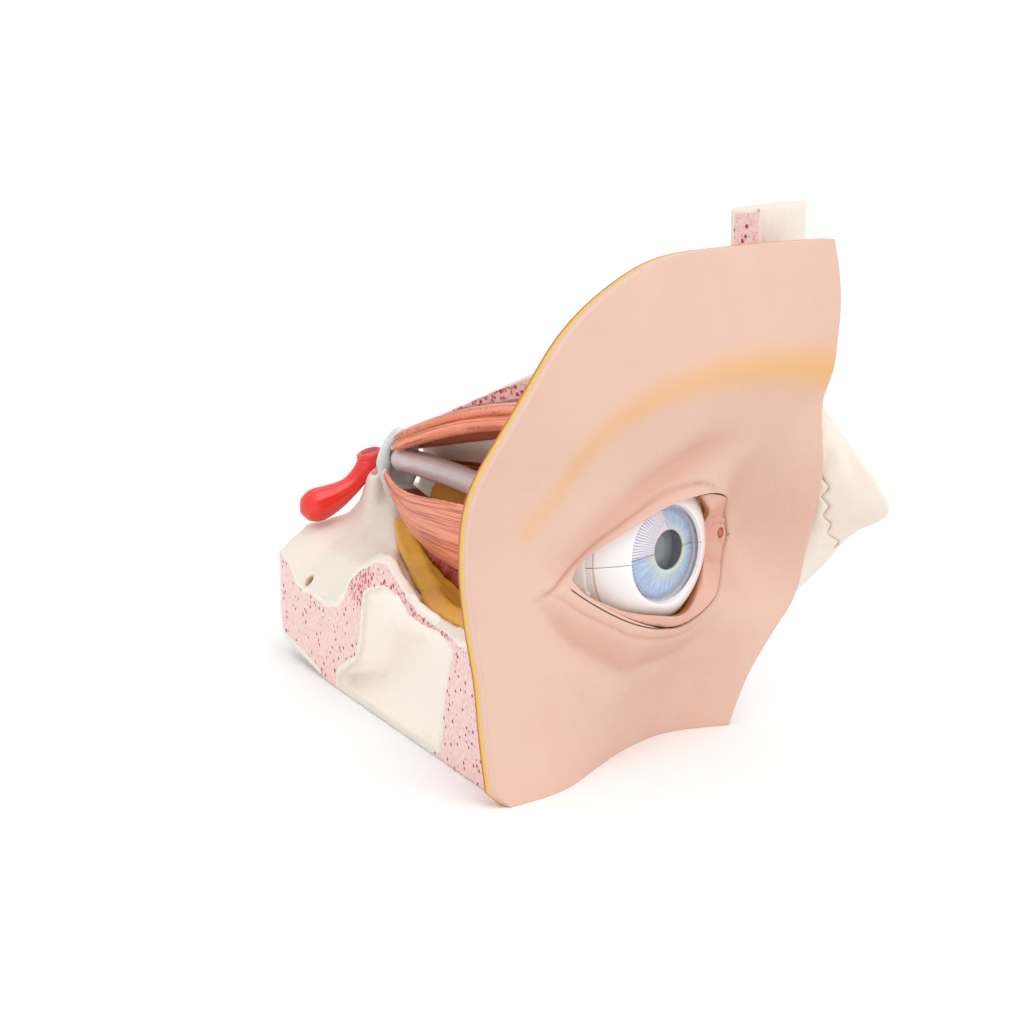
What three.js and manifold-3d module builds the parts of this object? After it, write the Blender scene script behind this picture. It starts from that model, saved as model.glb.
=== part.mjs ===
// Eye anatomy model at three times life size: a half face mask over a dissectible eyeball in its bony orbit.
// Millimetres, +Z up. X points to the nose, the face looks along -Y, and the flat underside is Z = 0.
// The origin lies on the underside, straight below the centre of the eyeball.
import * as THREE from 'three';
import { mergeVertices } from 'three/addons/utils/BufferGeometryUtils.js';
import Module from 'manifold-3d';

// Clearances
const GAP = 0.3;            // between pieces that are fitted or glued together
const RUN_GAP = 0.4;        // between pieces that lift out of each other
const MASK_GAP = 1.2;       // between the mask's back and the bone

// Eyeball
const EYE_HEIGHT = 70;      // centre above the underside
const EYE_TURN = 9.6;       // degrees that the gaze turns away from the nose
const SCLERA_RADIUS = 36;
const SCLERA_WALL = 3;
const LIMBUS_RADIUS = 16.5;
const CORNEA_CURVE = 24;    // outer radius of the corneal dome
const CORNEA_WALL = 1.4;
const CHOROID_WALL = 1.8;
const IRIS_RADIUS = 16;
const IRIS_THICKNESS = 1.2;
const IRIS_SETBACK = 0.5;   // iris behind the place where its edge would touch the sclera
const PUPIL_RADIUS = 6.6;
const CILIARY_BORE = 14;    // radius inside the ciliary ring, behind the iris
const CILIARY_DEPTH = 4.2;
const LENS_RADIUS = 12.6;
const LENS_THICKNESS = 10.4;
const EYE_FACETS = 28;
const ARC_STEPS = 10;

// Pins between the two halves of the sclera
const SEAM_PIN_RADIUS = 0.8;
const SEAM_PIN_LENGTH = 8;

// Optic nerve, tendon ring and muscles
const ORBIT_LENGTH = 134;   // from the eyeball's centre back to the tendon ring
const NERVE_RADIUS = 4.7;
const RING_HALF_WIDTH = 6.4;
const RING_HALF_HEIGHT = 10.6;
const RING_TUBE = 2.2;
const RING_STEPS = 24;
const RING_LOBE = 0.9;      // swelling of the ring where a muscle takes root
const INSERTION_ANGLE = 51; // degrees from the gaze to the end of a straight muscle
const RECTUS_WIDTH = 26;
const RECTUS_THICKNESS = 4.6;
const LEVATOR_WIDTH = 20;
const LEVATOR_THICKNESS = 2.4;
const OBLIQUE_WIDTH = 10;
const OBLIQUE_THICKNESS = 4;
const TENDON_THICKNESS = 1.2;

// Lateral section through the bone: a vertical cut, measured along it (s), inward from it (t) and up (z)
const CUT_X = -65;
const CUT_Y = -3.2;
const CUT_TURN = 28.6;      // degrees from straight back toward the nose
const MEDIAL_X = 65;        // inner face of the orbit's casting
const MIDLINE_X = 77;       // section through the nose
const ROOF_X = 49;          // outer cut through the orbit's roof and the frontal bone
const WALL_BASE = 60;       // joint between the maxilla and the upper castings
const WALL_BACK = 123;
const FRONTAL_BASE = 128;
const FRONTAL_TOP = 177;
const FRONTAL_BACK = -19;
const FRONTAL_FACE = -32.5; // front of the stub above the mask
const SINUS_FLOOR = 2.5;
const SINUS_DEPTH = 42;

// Carotid artery, bone peg and foramen beside it
const ARTERY_RADIUS = 3.3;  // at its narrowest
const ARTERY_BULB = 6.4;
const ARTERY_MOUTH = 5;
const PEG_RADIUS = 3.2;
const FORAMEN_RADIUS = 2.2;

// Face mask
const MASK_THICKNESS = 4.5;
const MASK_LEFT = -77.5;
const MASK_RIGHT = 64;
const MASK_TOP = 166.5;
const MASK_FOOT_RIGHT = 43;
const MASK_ARC = 80;        // radius of the rounded upper corner
const MASK_CORNER = 5;
const MASK_PULL = 200;      // way that the mask is pulled off forward
const MASK_SECTORS = 60;
const MASK_BANDS = 7;
const LID_THICKNESS = 3;
const LID_STEP = 0.6;        // the lid insert lies this far below the skin
const CARUNCLE_RADIUS = 1.4;
const CARUNCLE_X = 43.3;
const CARUNCLE_DROP = 3;    // below the eyeball's centre

// Pins that carry the mask
const PIN_RADIUS = 2.5;
const PIN_LENGTH = 24;
const PIN_IN_MASK = 2.4;

// Face, orbit and small muscles are drawn round an eyeball of this radius at this height. They follow its
// real radius, and the underside follows its real height
const DRAWN_RADIUS = 36;
const DRAWN_HEIGHT = 70;
const EYE_RATIO = SCLERA_RADIUS / DRAWN_RADIUS;
const EYE_GROWTH = SCLERA_RADIUS - DRAWN_RADIUS;
const FOOT = DRAWN_HEIGHT - EYE_HEIGHT;

const degrees = THREE.MathUtils.degToRad;
const eyeCentre = new THREE.Vector3(0, 0, DRAWN_HEIGHT);
const up = new THREE.Vector3(0, 0, 1);
const gaze = new THREE.Vector3(-Math.sin(degrees(EYE_TURN)), -Math.cos(degrees(EYE_TURN)), 0);
const nasal = new THREE.Vector3(Math.cos(degrees(EYE_TURN)), -Math.sin(degrees(EYE_TURN)), 0);
const cutAlong = new THREE.Vector3(Math.sin(degrees(CUT_TURN)), Math.cos(degrees(CUT_TURN)), 0);
const cutInward = new THREE.Vector3(Math.cos(degrees(CUT_TURN)), -Math.sin(degrees(CUT_TURN)), 0);
const cutOrigin = new THREE.Vector3(CUT_X, CUT_Y, 0);

function inSection(s, t, z) {
  return cutOrigin.clone().addScaledVector(cutAlong, s).addScaledVector(cutInward, t).setZ(z);
}

// Smooth curve value through [position, value] pairs
function curveThrough(points) {
  const last = points.length - 1;
  const slope = points.map((point, i) => {
    const before = points[Math.max(i - 1, 0)];
    const after = points[Math.min(i + 1, last)];
    return (after[1] - before[1]) / (after[0] - before[0]);
  });
  return (x) => {
    if (x <= points[0][0]) return points[0][1];
    if (x >= points[last][0]) return points[last][1];
    const i = points.findIndex((point) => point[0] > x) - 1;
    const width = points[i + 1][0] - points[i][0];
    const rise = points[i + 1][1] - points[i][1];
    const u = (x - points[i][0]) / width;
    const bend = (1 - u) * (slope[i] * width - rise) - u * (slope[i + 1] * width - rise);
    return points[i][1] + rise * u + u * (1 - u) * bend;
  };
}

function evenly(from, to, steps) {
  return Array.from({ length: steps + 1 }, (_, i) => from + (to - from) * i / steps);
}

// Booleans
const wasm = await Module();
wasm.setup();

function solidOf(geometry) {
  const plain = geometry.clone();
  plain.deleteAttribute('normal');
  plain.deleteAttribute('uv');
  const merged = mergeVertices(plain, 1e-4);
  return new wasm.Manifold(new wasm.Mesh({
    numProp: 3,
    vertProperties: merged.attributes.position.array,
    triVerts: Uint32Array.from(merged.index.array),
  }));
}

function geometryOf(solid) {
  const mesh = solid.getMesh();
  const geometry = new THREE.BufferGeometry();
  geometry.setAttribute('position', new THREE.BufferAttribute(Float32Array.from(mesh.vertProperties), 3));
  geometry.setIndex(Array.from(mesh.triVerts));
  return geometry;
}

// Geometry with its faces turned outward, whichever way its rings ran
function outward(positions, index) {
  const at = (i) => new THREE.Vector3().fromArray(positions, i * 3);
  let volume = 0;
  for (let i = 0; i < index.length; i += 3) {
    volume += at(index[i]).dot(at(index[i + 1]).cross(at(index[i + 2])));
  }
  const geometry = new THREE.BufferGeometry();
  geometry.setAttribute('position', new THREE.Float32BufferAttribute(positions, 3));
  geometry.setIndex(volume > 0 ? index : index.toReversed());
  return geometry;
}

// Closed loft through rings of equally many points: capped in the plane of two axes, or joined end to end
function loft(rings, capAxes) {
  const count = rings[0].length;
  const spans = capAxes ? rings.length - 1 : rings.length;
  const index = [];
  for (let r = 0; r < spans; r++) {
    for (let k = 0; k < count; k++) {
      const a = r * count + k;
      const b = r * count + (k + 1) % count;
      const next = ((r + 1) % rings.length) * count;
      const c = next + (k + 1) % count;
      const d = next + k;
      index.push(a, b, c, a, c, d);
    }
  }
  if (capAxes) {
    const flat = rings[0].map((p) => new THREE.Vector2(p.dot(capAxes[0]), p.dot(capAxes[1])));
    const clockwise = THREE.ShapeUtils.isClockWise(flat);
    const end = (rings.length - 1) * count;
    for (const face of THREE.ShapeUtils.triangulateShape(flat, [])) {
      const [a, b, c] = clockwise ? face : face.toReversed();
      index.push(a, b, c, end + c, end + b, end + a);
    }
  }
  return outward(rings.flat().flatMap((p) => [p.x, p.y, p.z]), index);
}

// Box between two corners
function block(low, high) {
  const size = high.clone().sub(low);
  const geometry = new THREE.BoxGeometry(size.x, size.y, size.z);
  const middle = low.clone().add(high).multiplyScalar(0.5);
  return geometry.translate(middle.x, middle.y, middle.z);
}

// Round bar between two points
function bar(from, to, radius, facets = 16) {
  const length = from.distanceTo(to);
  const geometry = new THREE.CylinderGeometry(radius, radius, length, facets);
  const way = to.clone().sub(from).normalize();
  const turn = new THREE.Quaternion().setFromUnitVectors(new THREE.Vector3(0, 1, 0), way);
  geometry.applyQuaternion(turn);
  const middle = from.clone().add(to).multiplyScalar(0.5);
  return geometry.translate(middle.x, middle.y, middle.z);
}

// Tube of changing radius through stations of {at, radius}, with rounded ends closed by small flats
function vessel(stations, facets = 12) {
  const path = new THREE.CatmullRomCurve3(stations.map((station) => station.at));
  const radiusAlong = curveThrough(stations.map((station, i) => [i / (stations.length - 1), station.radius]));
  const steps = (stations.length - 1) * 3;
  const frames = path.computeFrenetFrames(steps, false);
  const rings = [];
  for (let i = 0; i <= steps; i++) {
    const centre = path.getPoint(i / steps);
    const radius = radiusAlong(i / steps);
    const ring = [];
    for (let k = 0; k < facets; k++) {
      const angle = 2 * Math.PI * k / facets;
      const spoke = frames.normals[i].clone().multiplyScalar(Math.cos(angle) * radius);
      spoke.addScaledVector(frames.binormals[i], Math.sin(angle) * radius);
      ring.push(centre.clone().add(spoke));
    }
    rings.push(ring);
  }
  return loft(rings, [frames.normals[0], frames.binormals[0]]);
}

// Skin of the face: depth ahead of the eyeball's centre, as sections at set heights
const FACE_COLUMNS = [-78, -50, -25, 0, 25, 48, 66];
const FACE_SECTIONS = [
  [0, [18, 22.8, 17.5, 13, 14, 30, 46]],
  [20, [14.5, 21.5, 22, 18, 18, 33, 42]],
  [40, [12.5, 21, 28, 29, 28, 34, 41]],
  [55, [9, 20, 30, 35, 31, 26, 45.5]],
  [70, [7, 18, 31, 38, 34, 23, 50]],
  [85, [7, 19, 32, 37.5, 34, 29, 52.5]],
  [100, [9.5, 21, 30, 33, 35, 39, 50]],
  [112, [14, 26, 35, 37, 39.5, 43.5, 48]],
  [126, [18, 28, 38.5, 42.5, 46.5, 49, 51.8]],
  [145, [20, 26, 35, 39, 43, 48, 56]],
  [167, [22, 25, 30, 34, 38.5, 44, 51.5]],
];
const sectionCurves = FACE_SECTIONS.map(([height, depths]) => {
  return [height, curveThrough(FACE_COLUMNS.map((x, i) => [x, depths[i]]))];
});

function faceDepth(x, z) {
  const drawnX = x / EYE_RATIO;
  const drawnZ = DRAWN_HEIGHT + (z - DRAWN_HEIGHT) / EYE_RATIO;
  return EYE_RATIO * curveThrough(sectionCurves.map(([height, curve]) => [height, curve(drawnX)]))(drawnZ);
}

// Outline of the opening for the lids, around the eyeball's centre
const LID_OUTLINE = [
  [-44, -2.6], [-30, 9.5], [-13, 16.5], [6, 18], [22, 15.6], [36, 10], [45, 1], [46.5, -5],
  [38, -12], [30, -20.8], [18, -26], [3, -26.5], [-12, -23], [-29, -15.5],
].map(([x, z]) => new THREE.Vector3(x * EYE_RATIO, z * EYE_RATIO, 0));
const lidCurve = new THREE.CatmullRomCurve3(LID_OUTLINE, true);
const lidPolygon = lidCurve.getSpacedPoints(240).map((p) => new THREE.Vector2(p.x, p.y));

// Outer outline of the mask, around the same point
function maskPolygon() {
  const foot = -EYE_HEIGHT;
  const top = MASK_TOP - DRAWN_HEIGHT;
  const outline = new THREE.Shape();
  outline.moveTo(MASK_LEFT + MASK_CORNER, foot);
  outline.lineTo(MASK_FOOT_RIGHT, foot);
  outline.bezierCurveTo(
    MASK_FOOT_RIGHT + 0.5, 20 - DRAWN_HEIGHT, MASK_RIGHT - 13, 32 - DRAWN_HEIGHT,
    MASK_RIGHT - 1, 42 - DRAWN_HEIGHT,
  );
  outline.lineTo(MASK_RIGHT, top);
  outline.lineTo(MASK_LEFT + MASK_ARC, top);
  outline.absarc(MASK_LEFT + MASK_ARC, top - MASK_ARC, MASK_ARC, Math.PI / 2, Math.PI, false);
  outline.lineTo(MASK_LEFT, foot + MASK_CORNER);
  outline.quadraticCurveTo(MASK_LEFT, foot, MASK_LEFT + MASK_CORNER, foot);
  return outline.getPoints(24);
}
const outerPolygon = maskPolygon();
const hub = new THREE.Vector2(0, -4);

// Point where a ray from the hub crosses a closed outline
function crossing(polygon, angle) {
  const ray = new THREE.Vector2(Math.cos(angle), Math.sin(angle));
  let found = null;
  polygon.forEach((point, i) => {
    const a = point.clone().sub(hub);
    const edge = polygon[(i + 1) % polygon.length].clone().sub(point);
    const across = ray.cross(edge);
    if (Math.abs(across) < 1e-9) return;
    const distance = a.cross(edge) / across;
    const along = a.cross(ray) / across;
    const onEdge = along >= -1e-9 && along <= 1 + 1e-9;
    if (distance > 0 && onEdge) found = hub.clone().addScaledVector(ray, distance);
  });
  return found;
}

// Even directions from the hub, with the nearest ones moved onto the outline's corners
function maskAngles() {
  const step = 2 * Math.PI / MASK_SECTORS;
  const angles = Array.from({ length: MASK_SECTORS }, (_, k) => k * step);
  const corners = [
    [MASK_RIGHT, MASK_TOP - DRAWN_HEIGHT], [MASK_LEFT + MASK_CORNER, -EYE_HEIGHT],
    [MASK_LEFT, MASK_CORNER - EYE_HEIGHT], [MASK_FOOT_RIGHT, -EYE_HEIGHT],
    [LID_OUTLINE[0].x, LID_OUTLINE[0].y],
  ];
  for (const [x, z] of corners) {
    const angle = (Math.atan2(z - hub.y, x - hub.x) + 2 * Math.PI) % (2 * Math.PI);
    angles[Math.round(angle / step) % MASK_SECTORS] = angle;
  }
  return angles.sort((a, b) => a - b);
}

function onFace(x, z, behind) {
  return new THREE.Vector3(x, behind - faceDepth(x, z + DRAWN_HEIGHT), z + DRAWN_HEIGHT);
}

function maskGeometry() {
  const rings = maskAngles().map((angle) => {
    const inner = crossing(lidPolygon, angle);
    const outer = crossing(outerPolygon, angle);
    const stations = [];
    for (let j = 0; j <= MASK_BANDS; j++) {
      stations.push(inner.clone().lerp(outer, Math.pow(j / MASK_BANDS, 1.25)));
    }
    const front = stations.map((p) => onFace(p.x, p.y, 0));
    const back = stations.map((p) => onFace(p.x, p.y, MASK_THICKNESS));
    return [...front, ...back.toReversed()];
  });
  return loft(rings);
}

// Space in front of the bone that the mask and its pull-off path take
function maskSpace() {
  const rows = 22;
  const left = MASK_LEFT - 60;
  const right = MASK_RIGHT + MASK_GAP;
  const bottom = FOOT - 10;
  const top = MASK_TOP + MASK_GAP;
  const columns = [...evenly(left, 31, 14), ...evenly(31, right, 10).slice(1)];
  const rings = [];
  for (let i = 0; i <= rows; i++) {
    const z = bottom + (top - bottom) * i / rows;
    const ring = [new THREE.Vector3(right, -MASK_PULL, z), new THREE.Vector3(left, -MASK_PULL, z)];
    for (const x of columns) ring.push(new THREE.Vector3(x, MASK_THICKNESS + MASK_GAP - faceDepth(x, z), z));
    rings.push(ring);
  }
  return solidOf(loft(rings, [new THREE.Vector3(1, 0, 0), new THREE.Vector3(0, 1, 0)]));
}

// Lid insert: a crescent from the outer corner under the eye and up its nasal side
const LID_START = 182;
const LID_SWEEP = 236;

function lidInsertGeometry() {
  const width = curveThrough([[0, 1.2], [0.2, 3.4], [0.45, 4.2], [0.62, 7], [0.76, 11], [0.88, 8], [1, 1.2]]);
  const clearRadius = SCLERA_RADIUS + RUN_GAP + GAP;
  const start = degrees(LID_START);
  const turns = maskAngles().map((angle) => (angle - start + 2 * Math.PI) % (2 * Math.PI));
  const used = turns.filter((turn) => turn <= degrees(LID_SWEEP)).sort((a, b) => a - b);
  const rings = used.map((turn) => {
    const edge = crossing(lidPolygon, (start + turn) % (2 * Math.PI));
    const inwardStep = hub.clone().sub(edge).normalize();
    const outer = edge.clone().addScaledVector(inwardStep, RUN_GAP);
    const inner = edge.clone().addScaledVector(inwardStep, RUN_GAP + width(turn / degrees(LID_SWEEP)));
    const outerDepth = faceDepth(outer.x, outer.y + DRAWN_HEIGHT) - LID_STEP;
    const reach = inner.length();
    const ballDepth = reach < clearRadius ? Math.sqrt(clearRadius * clearRadius - reach * reach) : 0;
    const innerDepth = Math.max(ballDepth + LID_THICKNESS, outerDepth - 2);
    return [
      new THREE.Vector3(outer.x, -outerDepth, outer.y + DRAWN_HEIGHT),
      new THREE.Vector3(inner.x, -innerDepth, inner.y + DRAWN_HEIGHT),
      new THREE.Vector3(inner.x, LID_THICKNESS - innerDepth, inner.y + DRAWN_HEIGHT),
      new THREE.Vector3(outer.x, LID_THICKNESS - outerDepth, outer.y + DRAWN_HEIGHT),
    ];
  });
  const capSide = rings[0][1].clone().sub(rings[0][0]).normalize();
  return loft(rings, [capSide, new THREE.Vector3(0, 1, 0)]);
}

// Caruncle: a bead half sunk in the insert at the inner corner of the lids
function caruncleSolid(grow) {
  const bead = new THREE.SphereGeometry(1, 14, 10);
  bead.scale(CARUNCLE_RADIUS + grow, CARUNCLE_RADIUS + grow, CARUNCLE_RADIUS * 1.3 + grow);
  const x = CARUNCLE_X * EYE_RATIO;
  const z = DRAWN_HEIGHT - CARUNCLE_DROP * EYE_RATIO;
  const seat = faceDepth(x + 2.6, z) - LID_STEP - CARUNCLE_RADIUS;
  return solidOf(bead.translate(x, -seat, z));
}

// Eyeball shells: profiles revolved about the gaze, which is -Y in their own frame
function arc(radius, from, to, steps) {
  const points = [];
  for (let i = 0; i <= steps; i++) {
    const angle = from + (to - from) * i / steps;
    points.push(new THREE.Vector2(Math.abs(radius * Math.sin(angle)), -radius * Math.cos(angle)));
  }
  return points;
}

function revolved(points) {
  const clean = points.map((p) => new THREE.Vector2(p.x < 1e-6 ? 0 : p.x, p.y));
  const geometry = new THREE.LatheGeometry(clean, EYE_FACETS);
  const solid = solidOf(geometry);
  if (solid.volume() > 0) return solid;
  return solidOf(new THREE.LatheGeometry(clean.toReversed(), EYE_FACETS));
}

function upperHalf(solid) {
  return solid.subtract(solidOf(block(new THREE.Vector3(-60, -60, -60), new THREE.Vector3(60, 60, GAP / 2))));
}

function lowerHalf(solid) {
  return solid.subtract(solidOf(block(new THREE.Vector3(-60, -60, -GAP / 2), new THREE.Vector3(60, 60, 60))));
}

const scleraInner = SCLERA_RADIUS - SCLERA_WALL;
const limbusAngle = Math.asin(LIMBUS_RADIUS / SCLERA_RADIUS);
const choroidOuter = scleraInner - RUN_GAP;
const choroidInner = choroidOuter - CHOROID_WALL;
const vitreousRadius = choroidInner - RUN_GAP;
const irisFront = Math.sqrt(scleraInner ** 2 - (IRIS_RADIUS + GAP) ** 2) - IRIS_SETBACK;
const irisBack = irisFront - IRIS_THICKNESS;
const ciliaryFront = irisBack - GAP;
const ciliaryBack = ciliaryFront - CILIARY_DEPTH;
const lensMiddle = irisBack - RUN_GAP - LENS_THICKNESS / 2;

function seamPinHoles() {
  const middle = SCLERA_RADIUS - SCLERA_WALL / 2;
  return [-1, 1].map((side) => {
    const reach = SEAM_PIN_LENGTH / 2 + GAP;
    return solidOf(bar(
      new THREE.Vector3(side * middle, 0, -reach),
      new THREE.Vector3(side * middle, 0, reach),
      SEAM_PIN_RADIUS + GAP,
      10,
    ));
  });
}

function scleraSolid() {
  const shell = revolved([
    ...arc(SCLERA_RADIUS, Math.PI, limbusAngle, ARC_STEPS),
    ...arc(scleraInner, limbusAngle, Math.PI, ARC_STEPS),
  ]);
  return seamPinHoles().reduce((solid, hole) => solid.subtract(hole), shell);
}

function corneaSolid() {
  const edgeAngle = limbusAngle - RUN_GAP / scleraInner;
  const edgeRadius = SCLERA_RADIUS * Math.sin(edgeAngle);
  const edgeDepth = SCLERA_RADIUS * Math.cos(edgeAngle);
  const centre = edgeDepth - Math.sqrt(CORNEA_CURVE * CORNEA_CURVE - edgeRadius * edgeRadius);
  const dome = (radius, depth) => {
    const limit = Math.acos((depth - centre) / radius);
    return arc(radius, 0, limit, 6).map((p) => new THREE.Vector2(p.x, p.y - centre));
  };
  const outer = dome(CORNEA_CURVE, edgeDepth);
  const flangeDepth = (scleraInner + GAP) * Math.cos(edgeAngle);
  const inner = dome(CORNEA_CURVE - CORNEA_WALL, edgeDepth - 1);
  const flange = new THREE.Vector2((scleraInner + GAP) * Math.sin(edgeAngle), -flangeDepth);
  const flangeInner = new THREE.Vector2(flange.x - CORNEA_WALL, flange.y);
  return revolved([...outer, flange, flangeInner, ...inner.toReversed()]);
}

function choroidSolid() {
  const outerEdge = Math.acos(ciliaryFront / choroidOuter);
  const innerEdge = Math.acos(ciliaryBack / choroidInner);
  return revolved([
    ...arc(choroidOuter, Math.PI, outerEdge, ARC_STEPS),
    new THREE.Vector2(CILIARY_BORE, -ciliaryFront),
    new THREE.Vector2(CILIARY_BORE, -ciliaryBack),
    ...arc(choroidInner, innerEdge, Math.PI, ARC_STEPS),
  ]);
}

function irisSolid() {
  return revolved([
    new THREE.Vector2(PUPIL_RADIUS, -irisFront),
    new THREE.Vector2(IRIS_RADIUS, -irisFront),
    new THREE.Vector2(IRIS_RADIUS, -irisBack),
    new THREE.Vector2(PUPIL_RADIUS, -irisBack),
    new THREE.Vector2(PUPIL_RADIUS, -irisFront),
  ]);
}

// Half profile of the lens, grown by a clearance: flatter in front than behind
function lensProfile(grow) {
  const radius = LENS_RADIUS + grow;
  const points = [];
  for (let i = 0; i <= 8; i++) {
    const angle = Math.PI * i / 8;
    const bulge = Math.cos(angle) > 0 ? 0.42 : 0.58;
    const depth = lensMiddle + (LENS_THICKNESS * bulge + grow) * Math.cos(angle);
    points.push(new THREE.Vector2(radius * Math.sin(angle), -depth));
  }
  return points;
}

function vitreousSolid() {
  const front = ciliaryBack - RUN_GAP;
  const edge = Math.acos(front / vitreousRadius);
  const ball = revolved([...arc(vitreousRadius, Math.PI, edge, ARC_STEPS), new THREE.Vector2(0, -front)]);
  return ball.subtract(revolved(lensProfile(RUN_GAP)));
}

// Orbit: stations along the section give the cavity's centre and reach in each direction
const ORBIT_STATIONS = [
  { s: -30, t: 56, z: 68, wide: 54, high: 46, low: 34 },
  { s: 10, t: 56, z: 68, wide: 58, high: 50, low: 40 },
  { s: 33, t: 56, z: 68, wide: 59, high: 53, low: 46 },
  { s: 60, t: 53, z: 67, wide: 55, high: 54, low: 44 },
  { s: 85, t: 49, z: 66, wide: 46, high: 53, low: 39 },
  { s: 112, t: 45, z: 66, wide: 36, high: 48, low: 34 },
  { s: 138, t: 42, z: 67, wide: 24, high: 34, low: 27 },
  { s: 158, t: 40, z: 71, wide: 15, high: 18, low: 17 },
  { s: 172, t: 39, z: 73, wide: 11, high: 13, low: 13.5 },
];
const ORBIT_FACETS = 24;

function orbitSolid(shrink) {
  const rings = ORBIT_STATIONS.map((station) => {
    const besideEye = Math.min(1, Math.max(0, (110 - station.s) / 50));
    const grow = EYE_GROWTH * besideEye - shrink;
    const ring = [];
    for (let k = 0; k < ORBIT_FACETS; k++) {
      const angle = 2 * Math.PI * k / ORBIT_FACETS;
      const cos = Math.cos(angle);
      const sin = Math.sin(angle);
      const boxy = sin > 0 ? 0.82 : 1;
      const reach = sin > 0 ? station.high : station.low;
      const across = Math.sign(cos) * Math.pow(Math.abs(cos), boxy) * (station.wide + grow);
      const height = Math.sign(sin) * Math.pow(Math.abs(sin), boxy) * (reach + grow);
      ring.push(inSection(station.s, station.t + across, station.z + height));
    }
    return ring;
  });
  return solidOf(loft(rings, [cutInward, up]));
}

// Upper edge of the lateral section, and how the bone rises inward from it
const sectionTop = curveThrough([
  [-70, 45], [14, 45], [38, 44], [51, 45], [60, 47], [70, 53], [80, 58], [89, 57], [101, 52],
  [115, 46], [126, 34], [139, 30], [154, 31], [170, 31], [178, 38], [190, 39],
]);
const shelfRise = curveThrough([[0, 0], [12, 0.38], [28, 0.5], [40, 0.95], [60, 1]]);
const SPHENOID_TOP = 64;
const SECTION_STEPS = [
  -70, -20, 14, 38, 51, 61, 70, 80, 89, 101, 108, 115, 121, 126, 132, 139, 147, 154, 162, 170, 178, 190,
];
const UNDERSIDE = [[190, 16], [188, 8], [182, 5], [151, 1], [134, 0], [-70, 0]];
const INWARD_STEPS = [0, 6, 12, 20, 27, 34, 42, 60, 160];

// Drawn height of a low point, moved with the underside
function aboveFoot(z) {
  return z + FOOT * Math.max(0, 1 - z / WALL_BASE);
}

function boneBlock() {
  const rings = INWARD_STEPS.map((t) => {
    const top = SECTION_STEPS.map((s) => {
      const edge = sectionTop(s);
      return inSection(s, t, edge + (SPHENOID_TOP - edge) * shelfRise(t));
    });
    const under = UNDERSIDE.map(([s, z]) => inSection(s, t, aboveFoot(z)));
    return [...top, ...under];
  });
  return solidOf(loft(rings, [cutAlong, up]));
}

// Maxillary sinus: its mouth in the section, drawn in toward a lower, smaller end
const SINUS_MOUTH = [
  [98, 43], [84, 47], [70, 47], [62, 42.5], [51, 42], [38, 43], [27, 41], [29, 36], [33, 26], [38, 4],
  [41, SINUS_FLOOR], [131, SINUS_FLOOR], [127, 6], [110, 15], [105, 23.5], [103, 33], [101.5, 41],
];

function sinusSolid() {
  const depths = [-8, 0.05, 0.22, 0.5, 0.78, 1];
  const narrow = [1, 1, 0.95, 0.86, 0.74, 0.5];
  const roofs = [50, 50, 33, 24, 18, 14];
  const rings = depths.map((share, i) => {
    const t = share > 0 ? share * SINUS_DEPTH : share;
    return SINUS_MOUTH.map(([s, z]) => {
      const lowered = SINUS_FLOOR + (z - SINUS_FLOOR) * Math.min(1, (roofs[i] - SINUS_FLOOR) / 44.5);
      return inSection(78 + (s - 78) * narrow[i], t, aboveFoot(lowered));
    });
  });
  return solidOf(loft(rings, [cutAlong, up]));
}

// Path on the cone of muscles: along the orbit's axis, out from it, and round it
const orbitAxis = inSection(166, 40, 73.5).sub(eyeCentre).normalize();
const coneUp = up.clone().addScaledVector(orbitAxis, -up.dot(orbitAxis)).normalize();
const coneNasal = orbitAxis.clone().cross(coneUp).normalize();

function aroundCone(angle) {
  return coneNasal.clone().multiplyScalar(Math.cos(angle)).addScaledVector(coneUp, Math.sin(angle));
}

const STRAP_SIDES = 12;
const ROOT_THINNING = 0.45;  // share of a muscle's thickness that it loses toward the ring

// Ring of points of a flat strap bent round the cone
function strapRing(station, sides) {
  const ring = [];
  for (let k = 0; k < sides; k++) {
    const turn = 2 * Math.PI * k / sides;
    const across = Math.sign(Math.cos(turn)) * Math.pow(Math.abs(Math.cos(turn)), 0.8);
    const lift = Math.sign(Math.sin(turn)) * Math.pow(Math.abs(Math.sin(turn)), 0.8);
    const angle = station.angle + across * station.width / 2 / station.reach;
    const point = eyeCentre.clone().addScaledVector(orbitAxis, station.along);
    ring.push(point.addScaledVector(aroundCone(angle), station.reach + lift * station.thickness / 2));
  }
  return ring;
}

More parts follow.
